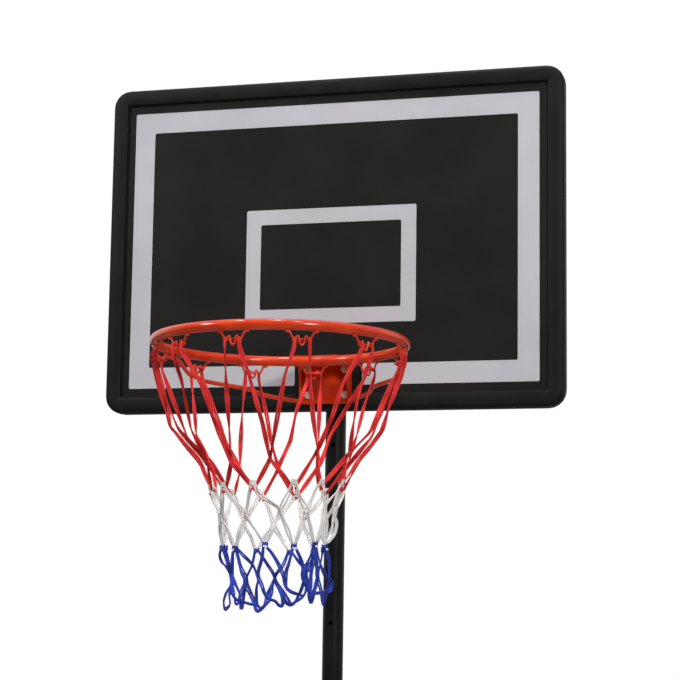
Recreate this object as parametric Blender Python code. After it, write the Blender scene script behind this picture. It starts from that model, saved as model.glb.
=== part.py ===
"""A portable junior basketball stand: ballast tank on wheels, telescoping mast, backboard, ring and net.

Lengths are in metres and +Z is up. The playing side faces -Y, and +X is on the right seen from there.
The origin lies on the floor under the mast's axis. The mast is shown at its second highest setting.
"""

import math

import bmesh
import bpy
from mathutils import Vector

# Clearances, and how far a cutter stands out past what it cuts
SEAT_GAP = 0.0003
OVERCUT = 0.010
SCREW_HOLE_SPARE = 0.002
SHARP_ANGLE = math.radians(35)

# Heights above the floor
RIM_HEIGHT = 2.05
HOLE_PITCH = 0.15
HOLE_COUNT = 5
HOLES_BELOW_LOCK = 1

# Backboard, measured from the centre of its printed face
BOARD_WIDTH = 0.800
BOARD_HEIGHT = 0.575
BOARD_CORNER_RADIUS = 0.030
BOARD_EDGE_BREAK = 0.003
BEAD_WIDTH = 0.028
BEAD_RISE = 0.006
BEAD_ROUNDING = 0.007
BEAD_INNER_ROUNDING = 0.0042
BEAD_OUTER_ANGLES = (0.0, math.radians(30), math.radians(60), math.radians(90))
BEAD_INNER_ANGLES = (0.0, math.radians(45), math.radians(90))
FACE_THICKNESS = 0.0017
WEB_THICKNESS = 0.0035
SHELL_DEPTH = 0.030
SHELL_WALL = 0.005
RIB_THICKNESS = 0.003
RIB_COLUMNS = 9
RIB_ROWS = 6
UPPER_BOSS_ROW = 3
PAD_HALF_WIDTH = 0.055
PAD_ARCH_START = 0.0725
PAD_ARCH_RISE = 0.037
PAD_EDGE_MARGIN = 0.008
PAD_PROUD = 0.0004

# Ring, bracket and braces
RIM_ABOVE_BOARD_FOOT = 0.0705
RING_REACH = 0.285
RING_RADIUS = 0.1925
RING_TUBE_RADIUS = 0.008
BRACKET_WIDTH = 0.086
BRACKET_SHEET = 0.0035
BRACKET_DROP = 0.0605
BRACKET_LIP_DEPTH = 0.022
TONGUE_ABOVE_RING = 0.0052
GUSSET_BEHIND_RING = 0.0045
GUSSET_EDGE = 0.0015
BRACE_RADIUS = 0.0035
BRACE_FOOT_ABOVE_EDGE = 0.0095
BRACE_END_INSET = 0.0042
BRACE_FLAT_LENGTH = 0.0145
BRACE_BEND_LENGTH = 0.0080

# Gusset's edge down to the plate's foot: (share of the lip's depth, share of the bracket's drop)
GUSSET_CURVE = ((1.85, 0.045), (1.20, 0.145), (0.90, 0.345))
LIP_FOOT_SHARE = 0.75

# Braces: where they lie under the ring, in degrees from its front, and their way from there to the bracket as
# (degrees, share of the bracket's drop, share of the ring's radius)
BRACE_SEAT_ANGLES = (97.0, 103.0)
BRACE_ROUTE = ((107.0, 0.253, 0.997), (114.0, 0.529, 0.997), (120.0, 0.603, 0.997), (127.0, 0.653, 1.034),
               (142.0, 0.694, 1.034), (149.5, 0.719, 1.070), (156.5, 0.777, 1.173), (165.5, 0.826, 1.288))

# Wire net hooks: where each is welded, in degrees round the ring from its front, and the sizes of its W
HOOK_ANGLES = (-4.0, 26.0, 57.0, 89.0, 120.0, 149.0, 180.0, 210.0, 240.0, 271.0, 298.0, 326.0)
HOOK_COUNT = len(HOOK_ANGLES)
HOOK_WIRE_RADIUS = 0.0016
HOOK_FOOT_SPREAD = 0.0195
HOOK_VALLEY_SPREAD = 0.013
HOOK_VALLEY_WIDTH = 0.008
HOOK_VALLEY_DROP = 0.0145
HOOK_VALLEY_DEPTH = 0.9
HOOK_CHEEK_SPREAD = 0.72
HOOK_CHEEK_DEPTH = 0.225
HOOK_PEAK_SPREAD = 0.0064
HOOK_PEAK_DROP = 0.0076
HOOK_TIP_DROP = 0.021

# Net
NET_DROP = 0.400
LOOP_HALF = 0.0013
LOOP_LIFT = 0.0007
LOOP_FRONT_OF_WIRE = 0.0028
LOOP_PAST_WIRE = 0.0024
LOOP_BEHIND_WIRE = 0.0034
LOOP_HANG = 0.0090
LOOP_SPREAD = 0.0010
LOOP_GATHER = 0.0026
STRAND_HALF_WIDTH = 0.0025
STRAND_HALF_THICKNESS = 0.0018
KNOT_HALF_WIDTH = 0.0045
KNOT_HALF_HEIGHT = 0.0030

# Net rows: (share of the net's drop, share of the ring's radius)
LEG_BENDS = ((0.1750, 0.9170), (0.3275, 0.8312))
RED_ROWS = ((0.4325, 0.6494), (0.5425, 0.5351))
WHITE_ROWS = ((0.6600, 0.4519), (0.7650, 0.4260))
BLUE_ROWS = ((0.8875, 0.4104), (1.0000, 0.4364))

# Bolts: shank radius, head or nut corner radius and height
HEAD_CROWN_SHARE = 0.88
HEAD_SIDE_SHARE = 0.80
RIM_BOLT_RADIUS = 0.004
RIM_BOLT_HEAD_RADIUS = 0.0072
RIM_BOLT_HEAD_HEIGHT = 0.0050
RIM_NUT_HEIGHT = 0.0065
RIM_BOLT_SPREAD = 0.032
RIM_BOLT_HEIGHTS = (0.0681, 0.0250)
SCREW_RADIUS = 0.003
SCREW_HEAD_RADIUS = 0.0058
SCREW_HEAD_HEIGHT = 0.0040
SCREW_BITE = 0.014
BOLT_CLEARANCE = 0.0003
BOLT_END_PAST_NUT = 0.004

# Mast tubes
MAST_RADIUS = 0.0175
TUBE_WALL = 0.0015
MAST_PAST_UPPER_BRACKET = 0.0277
MAST_BELOW_LAST_HOLE = 0.148
FIRST_HOLE_BELOW_BOARD = 0.0545
MAST_HOLE_RADIUS = 0.004
SADDLE_DEPTH = 0.0119
SADDLE_HALF_WIDTH = 0.016
CLAMP_SHEET = 0.003
CLAMP_HALF_WIDTH = 0.043
LOWER_CLAMP_HEIGHT = 0.080
UPPER_CLAMP_HEIGHT = 0.050
PLUG_LENGTH = 0.018
PLUG_HEAD = 0.003
PLUG_CROWN_SHARE = 0.85
PLUG_EDGE_SHARE = 0.6
GLIDE_HEIGHT = 0.020
GLIDE_BORE_RADIUS = 0.010
POLE_RADIUS = 0.021
POLE_JOINT_HEIGHT = 0.620
SPIGOT_LENGTH = 0.070
SWAGE_START = 0.001
SWAGE_END = 0.004
COLLAR_ABOVE_LOCK = 0.035
COLLAR_BELOW_LOCK = 0.025
COLLAR_SLEEVE_BELOW = 0.035
COLLAR_RADIUS = 0.026
COLLAR_CAP = 0.020
COLLAR_TAPER = 0.003
COLLAR_TAPER_HEIGHT = 0.006
LOCK_BOSS_RADIUS = 0.011
LOCK_BOSS_END = 0.034
LOCK_SCREW_RADIUS = 0.004
LOCK_PIN_RADIUS = 0.0032
KNOB_RADIUS = 0.0205
KNOB_LOBE = 0.0015
KNOB_LOBES = 6
KNOB_LENGTH = 0.022
KNOB_WAIST = 0.85
KNOB_FLARE_START = 0.20
KNOB_FLARE_END = 0.35
KNOB_CROWN_START = 0.85
LOCK_PIN_LENGTH = 0.0035
LOCK_PIN_TAPER = 0.0010

# Tank
TANK_WIDTH = 0.500
TANK_FRONT = 0.150
TANK_REAR = 0.640
TANK_HEIGHT = 0.150
TANK_CORNER_RADIUS = 0.080
TANK_WALL = 0.004
TANK_DRAFT = 0.012
TANK_TOP_ROUNDING = 0.040
TANK_FOOT_ROUNDING = 0.008
TANK_DRAFT_START = 0.030
FOOT_CHAMFER_SHARE = 0.375
TANK_TOP_INSET = 0.70
HUMP_HEIGHT = 0.035
HUMP_BASE_RADIUS = 0.055
HUMP_TOP_RADIUS = 0.032
HUMP_EDGE = 0.003
NECK_Y = 0.420
NECK_RADIUS = 0.022
NECK_BORE_RADIUS = 0.018
NECK_HEIGHT = 0.014
CAP_WALL = 0.004
CAP_TOP = 0.0035
CAP_NECK_CLEARANCE = 0.0005
CAP_SKIRT_LIFT = 0.0015
CAP_LOBES = 12
CAP_LOBE = 0.0008
CAP_EDGE_HEIGHT = 0.002
CAP_EDGE_WIDTH = 0.003

# The tank's top rounding: height left and inset as shares of the rounding, and the wall's share of the drop
TANK_SHOULDER = ((1.00, 0.00, 0.0), (0.45, 0.15, 0.4), (0.17, 0.36, 0.8), (0.00, TANK_TOP_INSET, 1.0))

# Struts
STRUT_FOOT_X = 0.170
STRUT_FOOT_Y = 0.500
STRUT_TOP_HEIGHT = 0.550
STRUT_RADIUS = 0.009
STRUT_WALL = 0.0012
STRUT_TAB_HALF_WIDTH = 0.014
STRUT_TAB_HALF_THICKNESS = 0.0021
STRUT_TAB_REACH = 0.018
STRUT_TAPER = 0.025
STRUT_BOLT_RADIUS = 0.004
STRUT_BOLT_HEAD_RADIUS = 0.0075
STRUT_BOLT_HEAD_HEIGHT = 0.0053
STRUT_NUT_HEIGHT = 0.0065
STRUT_SCREW_BITE = 0.026
STRUT_BOSS_RADIUS = 0.014
STRUT_BOSS_DEPTH = 0.038
ROUND_POWER = 2.0
PRESSED_POWER = 5.0
JOINT_BOLT_RADIUS = 0.003
JOINT_BOLT_HEAD_RADIUS = 0.0058
JOINT_BOLT_HEAD_HEIGHT = 0.0040
JOINT_NUT_HEIGHT = 0.0050

# Wheels
AXLE_RADIUS = 0.004
AXLE_HEIGHT = 0.050
AXLE_AHEAD_OF_TANK = 0.052
WHEEL_RADIUS = 0.045
WHEEL_WIDTH = 0.030
WHEEL_HUB_RADIUS = 0.014
WHEEL_RIM_RADIUS = 0.034
WHEEL_WEB = 0.006
WHEEL_EDGE = 0.003
EAR_THICKNESS = 0.012
EAR_RADIUS = 0.016
EAR_ROOT_HALF_HEIGHT = 0.024
EAR_ROOT_DEPTH = 0.010
INNER_EAR_X = 0.120
OUTER_EAR_X = 0.180
AXLE_END_PAST_EAR = 0.008
AXLE_CAP_WALL = 0.0045
AXLE_CAP_END = 0.0027
AXLE_CAP_CROWN = 0.7

# Facets
TUBE_SIDES = 24
BOLT_SIDES = 12
BOSS_SIDES = 16
RING_SIDES = 48
RING_TUBE_SIDES = 10
WIRE_SIDES = 6
BRACE_SIDES = 8
CORNER_STEPS = 5
ARC_STEPS = 12
EAR_STEPS = 10
STRUT_SIDES = 12

# Worked-out places
BOARD_FOOT = -BOARD_HEIGHT / 2
RING_Z = BOARD_FOOT + RIM_ABOVE_BOARD_FOOT
BOARD_Z = RIM_HEIGHT - RING_Z
FIRST_HOLE_DROP = FIRST_HOLE_BELOW_BOARD - BOARD_FOOT
LAST_HOLE_DROP = FIRST_HOLE_DROP + HOLE_PITCH * (HOLE_COUNT - 1)
LOCK_Z = BOARD_Z - LAST_HOLE_DROP + HOLE_PITCH * HOLES_BELOW_LOCK
POLE_TOP = LOCK_Z + COLLAR_ABOVE_LOCK - COLLAR_CAP
SHELL_BACK_Y = -(MAST_RADIUS + SEAT_GAP + SADDLE_DEPTH + SEAT_GAP)
BEAD_CREST_Y = SHELL_BACK_Y - SHELL_DEPTH
FACE_Y = BEAD_CREST_Y + BEAD_RISE
WEB_FRONT_Y = FACE_Y + FACE_THICKNESS + SEAT_GAP
PAD_FRONT_Y = BEAD_CREST_Y - PAD_PROUD
CELL_WIDTH = (BOARD_WIDTH - 2 * SHELL_WALL + RIB_THICKNESS) / RIB_COLUMNS
CELL_HEIGHT = (BOARD_HEIGHT - 2 * SHELL_WALL + RIB_THICKNESS) / RIB_ROWS
RING_Y = FACE_Y - RING_REACH
PLATE_BACK_Y = PAD_FRONT_Y - SEAT_GAP
PLATE_FRONT_Y = PLATE_BACK_Y - BRACKET_SHEET
TONGUE_Z = RING_Z + TONGUE_ABOVE_RING
TONGUE_TIP_RADIUS = RING_RADIUS + math.sqrt(RING_TUBE_RADIUS ** 2 - TONGUE_ABOVE_RING ** 2) + SEAT_GAP
CLAMP_FRONT_Y = SHELL_BACK_Y + SEAT_GAP
CLAMP_BACK_Y = CLAMP_FRONT_Y + CLAMP_SHEET
MAST_BORE = MAST_RADIUS - TUBE_WALL
POLE_BORE = POLE_RADIUS - TUBE_WALL
SPIGOT_RADIUS = POLE_BORE - SEAT_GAP
TANK_CENTRE_Y = (TANK_REAR - TANK_FRONT) / 2
POLE_FOOT_Z = TANK_WALL + SEAT_GAP + PLUG_HEAD + SEAT_GAP
AXLE_Y = -TANK_FRONT - AXLE_AHEAD_OF_TANK
AXLE_END_X = OUTER_EAR_X + EAR_THICKNESS / 2 + AXLE_END_PAST_EAR
TAB_X = POLE_RADIUS + SEAT_GAP + STRUT_TAB_HALF_THICKNESS
TAB_Z = TANK_HEIGHT + SEAT_GAP + STRUT_TAB_HALF_THICKNESS
UPPER_BOSS_Z = BOARD_FOOT + SHELL_WALL - RIB_THICKNESS / 2 + CELL_HEIGHT * (UPPER_BOSS_ROW + 0.5)
LOWER_CLAMP_Z = BOARD_FOOT + sum(RIM_BOLT_HEIGHTS) / 2
MAST_TOP = UPPER_BOSS_Z + UPPER_CLAMP_HEIGHT / 2 + MAST_PAST_UPPER_BRACKET


# Outlines

def circle(radius, sides):
    """Points round a circle."""
    return [(radius * math.cos(math.tau * i / sides), radius * math.sin(math.tau * i / sides))
            for i in range(sides)]


def hexagon(corner_radius):
    """A hexagon with a point in the middle of each side, to meet a twelve-sided shank."""
    flat = corner_radius * math.cos(math.pi / 6)
    outline = []
    for i in range(BOLT_SIDES):
        angle = math.tau * i / BOLT_SIDES
        reach = flat if i % 2 else corner_radius
        outline.append((reach * math.cos(angle), reach * math.sin(angle)))
    return outline


def lobed(radius, depth, lobes, sides):
    """A wavy circle, for a grip."""
    outline = []
    for i in range(sides):
        angle = math.tau * i / sides
        reach = radius + depth * math.cos(lobes * angle)
        outline.append((reach * math.cos(angle), reach * math.sin(angle)))
    return outline


def arc(centre_a, centre_b, radius, start, end, steps):
    """Points along an arc, with angles in degrees."""
    points = []
    for i in range(steps + 1):
        angle = math.radians(start + (end - start) * i / steps)
        points.append((centre_a + radius * math.cos(angle), centre_b + radius * math.sin(angle)))
    return points


def rounded_rectangle(half_a, half_b, radius):
    """A rectangle about the origin with round corners."""
    a = half_a - radius
    b = half_b - radius
    outline = []
    for centre_a, centre_b, start in ((a, b, 0), (-a, b, 90), (-a, -b, 180), (a, -b, 270)):
        outline += arc(centre_a, centre_b, radius, start, start + 90, CORNER_STEPS)
    return outline


def box_outline(low_a, high_a, low_b, high_b):
    return [(low_a, low_b), (high_a, low_b), (high_a, high_b), (low_a, high_b)]


def shifted(outline, by_a, by_b):
    return [(a + by_a, b + by_b) for a, b in outline]


# Solids

def placed(a, b, along, axis):
    """The point that lies at (a, b) across the axis and at a distance along it."""
    return {"X": (along, a, b), "Y": (a, along, b), "Z": (a, b, along)}[axis]


def skin(rows, ring=False):
    """A closed body over rows of points: with flat ends, or with its last row joined to its first."""
    bm = bmesh.new()
    rows = [[bm.verts.new(point) for point in row] for row in rows]
    pairs = list(zip(rows, rows[1:]))
    if ring:
        pairs.append((rows[-1], rows[0]))
    else:
        bm.faces.new(rows[0])
        bm.faces.new(rows[-1])
    for low, high in pairs:
        for i in range(len(low)):
            j = (i + 1) % len(low)
            bm.faces.new((low[i], low[j], high[j], high[i]))
    return bm


def loft(sections, axis="Z", ring=False):
    """A body through outlines, each given with its place along the axis."""
    return skin([[placed(a, b, along, axis) for a, b in outline] for outline, along in sections], ring)


def turned(profile, axis="Z", sides=TUBE_SIDES, ring=False):
    """A turned body from (radius, place) pairs. A ring's profile is a closed outline round its bore."""
    return loft([(circle(radius, sides), along) for radius, along in profile], axis, ring)


def prism(outline, low, high, axis):
    return loft([(outline, low), (outline, high)], axis)


def tube(outer, inner, low, high, axis="Z"):
    return turned([(inner, low), (outer, low), (outer, high), (inner, high)], axis, ring=True)


def rod(radius, low, high, axis, across=(0.0, 0.0), sides=BOLT_SIDES):
    """A round rod or drill whose axis runs through the point (a, b) across it."""
    return prism(shifted(circle(radius, sides), *across), low, high, axis)


def gathered(pieces):
    """Separate bodies together in one mesh, for a cutter that cuts in several places."""
    whole = bmesh.new()
    for piece in pieces:
        mesh = bpy.data.meshes.new("piece")
        piece.to_mesh(mesh)
        piece.free()
        whole.from_mesh(mesh)
        bpy.data.meshes.remove(mesh)
    return whole


def carried_frames(points, side):
    """Tangent, side and normal at each point of a path, turned no more than the path itself turns."""
    frames = []
    for i, point in enumerate(points):
        before = points[max(i - 1, 0)]
        after = points[min(i + 1, len(points) - 1)]
        tangent = (after - before).normalized()
        if frames:
            side = frames[-1][0].rotation_difference(tangent) @ side
        side = (side - tangent * side.dot(tangent)).normalized()
        frames.append((tangent, side, tangent.cross(side)))
    return frames


def swept(points, radius, sides, side):
    """A round bar along a path."""
    rows = []
    for point, (_, across, up) in zip(points, carried_frames(points, side)):
        rows.append([point + across * a + up * b for a, b in circle(radius, sides)])
    return skin(rows)


def smooth_path(points, steps):
    """A smooth curve through the points."""
    points = [Vector(point) for point in points]
    path = []
    for i in range(len(points) - 1):
        p0 = points[max(i - 1, 0)]
        p1 = points[i]
        p2 = points[i + 1]
        p3 = points[min(i + 2, len(points) - 1)]
        for step in range(steps):
            t = step / steps
            path.append(p1 + (p2 - p0) * (t / 2) + (p0 * 2 - p1 * 5 + p2 * 4 - p3) * (t * t / 2)
                        + (p1 * 3 - p0 - p2 * 3 + p3) * (t * t * t / 2))
    path.append(points[-1])
    return path


# Objects

def make_material(name, colour, roughness, metallic=0.0):
    material = bpy.data.materials.new(name)
    material.use_nodes = True
    shader = material.node_tree.nodes["Principled BSDF"]
    shader.inputs["Base Color"].default_value = (*colour, 1.0)
    shader.inputs["Roughness"].default_value = roughness
    shader.inputs["Metallic"].default_value = metallic
    return material


def make_object(name, bm, material=None, parent=None, place=(0.0, 0.0, 0.0)):
    """An object from a closed mesh, placed in its parent's frame."""
    bmesh.ops.recalc_face_normals(bm, faces=bm.faces)
    mesh = bpy.data.meshes.new(name)
    bm.to_mesh(mesh)
    bm.free()
    mesh.shade_smooth()
    mesh.set_sharp_from_angle(angle=SHARP_ANGLE)
    obj = bpy.data.objects.new(name, mesh)
    if material:
        mesh.materials.append(material)
    obj.parent = parent
    obj.location = place
    bpy.context.scene.collection.objects.link(obj)
    return obj


def make_empty(name, place):
    empty = bpy.data.objects.new(name, None)
    empty.location = place
    bpy.context.scene.collection.objects.link(empty)
    return empty


def shape_with(target, tool_mesh, operation, place=(0.0, 0.0, 0.0)):
    """Cuts the tool from the target, or joins it on. The tool stays as a hidden guide."""
    name = f"{target.name}_{operation.lower()}_{len(target.modifiers) + 1}"
    tool = make_object(name, tool_mesh, parent=target.parent, place=target.location + Vector(place))
    tool.hide_render = True
    tool.display_type = "WIRE"
    modifier = target.modifiers.new(name, "BOOLEAN")
    modifier.operation = operation
    modifier.object = tool
    return tool


def cut(target, tool_mesh, place=(0.0, 0.0, 0.0)):
    return shape_with(target, tool_mesh, "DIFFERENCE", place)


def join(target, tool_mesh, place=(0.0, 0.0, 0.0)):
    return shape_with(target, tool_mesh, "UNION", place)


# Bolts and nuts, made along an axis with the head's underside at zero

def bolt_mesh(axis, head_way, shank_radius, head_radius, head_height, length):
    """A hexagon bolt whose head lies on the head_way side of the origin, +1 or -1."""
    crown = hexagon(head_radius * HEAD_CROWN_SHARE)
    head = hexagon(head_radius)
    shank = circle(shank_radius, BOLT_SIDES)
    top = head_way * head_height
    return loft([(crown, top), (head, top * HEAD_SIDE_SHARE), (head, 0.0), (shank, 0.0),
                 (shank, -head_way * length)], axis)


def nut_mesh(axis, way, bolt_radius, corner_radius, height):
    """A hexagon nut that stands from zero towards way."""
    bore = circle(bolt_radius + BOLT_CLEARANCE, BOLT_SIDES)
    face = hexagon(corner_radius)
    return loft([(bore, 0.0), (face, 0.0), (face, way * height), (bore, way * height)], axis, ring=True)


# Base

def tank_section(z, inset):
    half_x = TANK_WIDTH / 2 - inset
    half_y = (TANK_REAR + TANK_FRONT) / 2 - inset
    outline = rounded_rectangle(half_x, half_y, TANK_CORNER_RADIUS - inset / 2)
    return shifted(outline, 0.0, TANK_CENTRE_Y), z


def tank_levels(wall):
    """(height, inset) pairs up the tank's outside, or up its inside when given a wall."""
    foot = TANK_FOOT_ROUNDING
    chamfer = foot * FOOT_CHAMFER_SHARE + wall
    levels = [(wall, foot + wall), (chamfer, chamfer), (foot + wall, wall), (TANK_DRAFT_START, wall)]
    for height_left, inset, wall_share in TANK_SHOULDER:
        height = TANK_HEIGHT - TANK_TOP_ROUNDING * height_left - wall * wall_share
        levels.append((height, TANK_DRAFT + TANK_TOP_ROUNDING * inset + wall))
    return levels


def ear_mesh(middle_x):
    root = -TANK_FRONT + EAR_ROOT_DEPTH
    outline = [(root, AXLE_HEIGHT - EAR_ROOT_HALF_HEIGHT), (root, AXLE_HEIGHT + EAR_ROOT_HALF_HEIGHT)]
    outline += arc(AXLE_Y, AXLE_HEIGHT, EAR_RADIUS, 90, 270, EAR_STEPS)
    return prism(outline, middle_x - EAR_THICKNESS / 2, middle_x + EAR_THICKNESS / 2, "X")


def make_tank(material):
    """A hollow ballast tank with a pole socket, a filler neck, bosses for the strut screws and axle ears."""
    body = loft([tank_section(z, inset) for z, inset in tank_levels(0.0)])
    tank = make_object("base_tank", body, material)
    for middle_x in (-OUTER_EAR_X, -INNER_EAR_X, INNER_EAR_X, OUTER_EAR_X):
        join(tank, ear_mesh(middle_x))
    hump_top = TANK_HEIGHT + HUMP_HEIGHT
    neck_top = TANK_HEIGHT + NECK_HEIGHT
    sunk = TANK_HEIGHT - OVERCUT
    join(tank, turned([(HUMP_BASE_RADIUS, sunk), (HUMP_BASE_RADIUS, TANK_HEIGHT + HUMP_EDGE),
                       (HUMP_TOP_RADIUS, hump_top - HUMP_EDGE), (HUMP_TOP_RADIUS - HUMP_EDGE, hump_top)]))
    join(tank, rod(NECK_RADIUS, TANK_HEIGHT - TANK_WALL / 2, neck_top, "Z", (0.0, NECK_Y), TUBE_SIDES))

    cavity = cut(tank, loft([tank_section(z, inset) for z, inset in tank_levels(TANK_WALL)]))
    socket = POLE_RADIUS + SEAT_GAP
    cut(cavity, rod(socket + TANK_WALL, -OVERCUT, TANK_HEIGHT + OVERCUT, "Z", sides=TUBE_SIDES))
    feet = [(side * STRUT_FOOT_X, STRUT_FOOT_Y) for side in (-1, 1)]
    boss_foot = TANK_HEIGHT - STRUT_BOSS_DEPTH
    cut(cavity, gathered([rod(STRUT_BOSS_RADIUS, boss_foot, TANK_HEIGHT + OVERCUT, "Z", foot, BOSS_SIDES)
                          for foot in feet]))

    screw_hole = STRUT_BOLT_RADIUS + BOLT_CLEARANCE
    screw_depth = TANK_HEIGHT - STRUT_SCREW_BITE - SCREW_HOLE_SPARE
    drills = [rod(screw_hole, screw_depth, TANK_HEIGHT + OVERCUT, "Z", foot) for foot in feet]
    drills.append(rod(socket, TANK_WALL, hump_top + OVERCUT, "Z", sides=TUBE_SIDES))
    neck_foot = TANK_HEIGHT - TANK_WALL - OVERCUT
    drills.append(rod(NECK_BORE_RADIUS, neck_foot, neck_top + OVERCUT, "Z", (0.0, NECK_Y), TUBE_SIDES))
    cut(tank, gathered(drills))
    axle_reach = OUTER_EAR_X + EAR_THICKNESS + OVERCUT
    cut(tank, rod(AXLE_RADIUS + BOLT_CLEARANCE, -axle_reach, axle_reach, "X", (AXLE_Y, AXLE_HEIGHT)))


def make_filler_cap(material):
    skirt = NECK_RADIUS + CAP_NECK_CLEARANCE
    underside = NECK_HEIGHT + SEAT_GAP
    top = underside + CAP_TOP
    sides = CAP_LOBES * 2
    grip = lobed(skirt + CAP_WALL, CAP_LOBE, CAP_LOBES, sides)
    inside = circle(skirt, sides)
    crown = circle(skirt + CAP_WALL - CAP_EDGE_WIDTH, sides)
    mesh = loft([(inside, underside), (inside, CAP_SKIRT_LIFT), (grip, CAP_SKIRT_LIFT),
                 (grip, top - CAP_EDGE_HEIGHT), (crown, top)])
    return make_object("filler_cap", mesh, material, place=(0.0, NECK_Y, TANK_HEIGHT))


def make_wheels(wheel_material, metal):
    """Two wheels between their ears, the axle rod across all four ears, and a push-on cap at each end."""
    hub = (OUTER_EAR_X - INNER_EAR_X - EAR_THICKNESS) / 2 - SEAT_GAP
    bore = AXLE_RADIUS + BOLT_CLEARANCE
    half = WHEEL_WIDTH / 2
    tread = half - WHEEL_EDGE
    web = WHEEL_WEB / 2
    outside = [(bore, -hub), (WHEEL_HUB_RADIUS, -hub), (WHEEL_HUB_RADIUS, -web), (WHEEL_RIM_RADIUS, -web),
               (WHEEL_RIM_RADIUS, -half), (WHEEL_RADIUS - WHEEL_EDGE, -half), (WHEEL_RADIUS, -tread)]
    profile = outside + [(radius, -along) for radius, along in reversed(outside)]
    middle = (INNER_EAR_X + OUTER_EAR_X) / 2
    for name, way in (("left", -1), ("right", 1)):
        place = (way * middle, AXLE_Y, AXLE_HEIGHT)
        make_object(f"wheel_{name}", turned(profile, "X", ring=True), wheel_material, place=place)
        seat = way * (OUTER_EAR_X + EAR_THICKNESS / 2 + SEAT_GAP)
        inner_end = way * (AXLE_END_X + SEAT_GAP)
        outer_end = way * (AXLE_END_X + SEAT_GAP + AXLE_CAP_END)
        cap_radius = bore + AXLE_CAP_WALL
        cap = turned([(bore, inner_end), (bore, seat), (cap_radius, seat), (cap_radius, inner_end),
                      (cap_radius * AXLE_CAP_CROWN, outer_end)], "X", BOSS_SIDES)
        make_object(f"axle_cap_{name}", cap, metal, place=(0.0, AXLE_Y, AXLE_HEIGHT))
    axle = turned([(AXLE_RADIUS, -AXLE_END_X), (AXLE_RADIUS, AXLE_END_X)], "X", BOLT_SIDES)
    make_object("wheel_axle", axle, metal, place=(0.0, AXLE_Y, AXLE_HEIGHT))


def oval(half_a, half_b, power, sides=STRUT_SIDES):
    """A superellipse: round at power 2, and with flat faces at a higher power."""
    outline = []
    for i in range(sides):
        angle = math.tau * i / sides
        across = math.copysign(abs(math.cos(angle)) ** (2 / power), math.cos(angle))
        up = math.copysign(abs(math.sin(angle)) ** (2 / power), math.sin(angle))
        outline.append((half_a * across, half_b * up))
    return outline


def make_strut(name, way, material):
    """A tube with both ends pressed flat: one lies on the tank's top, the other against the pole's side."""
    foot = Vector((way * STRUT_FOOT_X, STRUT_FOOT_Y, TAB_Z))
    top = Vector((way * TAB_X, 0.0, STRUT_TOP_HEIGHT))
    heading = Vector((top.x - foot.x, top.y - foot.y, 0.0)).normalized()
    rise = Vector((0.0, top.y - foot.y, top.z - foot.z)).normalized()
    bend_low = foot + heading * STRUT_TAB_REACH
    bend_high = top - rise * STRUT_TAB_REACH
    along = (bend_high - bend_low).normalized()
    flat_side = Vector((heading.y, -heading.x, 0.0))
    pole_side = Vector((-1.0, 0.0, 0.0))
    tab = (STRUT_TAB_HALF_WIDTH, STRUT_TAB_HALF_THICKNESS, PRESSED_POWER)
    tab_bore = (STRUT_TAB_HALF_WIDTH - STRUT_WALL, STRUT_TAB_HALF_THICKNESS - STRUT_WALL, PRESSED_POWER)
    pipe = (STRUT_RADIUS, STRUT_RADIUS, ROUND_POWER)
    pipe_bore = (STRUT_RADIUS - STRUT_WALL, STRUT_RADIUS - STRUT_WALL, ROUND_POWER)
    upright = (tab[1], tab[0], tab[2])
    upright_bore = (tab_bore[1], tab_bore[0], tab_bore[2])
    stations = [
        (foot - heading * STRUT_TAB_REACH, heading, flat_side, tab, tab_bore),
        (bend_low, heading + along, flat_side, tab, tab_bore),
        (bend_low + along * STRUT_TAPER, along, flat_side, pipe, pipe_bore),
        (bend_high - along * STRUT_TAPER, along, flat_side, pipe, pipe_bore),
        (bend_high, along + rise, pole_side, upright, upright_bore),
        (top + rise * STRUT_TAB_REACH, rise, pole_side, upright, upright_bore),
    ]
    outer_rows = []
    inner_rows = []
    for place, direction, side, outer, inner in stations:
        tangent = direction.normalized()
        across = (side - tangent * side.dot(tangent)).normalized()
        up = tangent.cross(across)
        outer_rows.append([place + across * a + up * b for a, b in oval(*outer)])
        inner_rows.append([place + across * a + up * b for a, b in oval(*inner)])
    strut = make_object(name, skin(outer_rows + inner_rows[::-1], ring=True), material)
    hole = STRUT_BOLT_RADIUS + BOLT_CLEARANCE
    cut(strut, rod(hole, TANK_HEIGHT, TAB_Z + OVERCUT, "Z", (foot.x, foot.y)))
    outside = way * (TAB_X + OVERCUT)
    cut(strut, rod(hole, min(0.0, outside), max(0.0, outside), "X", (0.0, STRUT_TOP_HEIGHT)))


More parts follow.
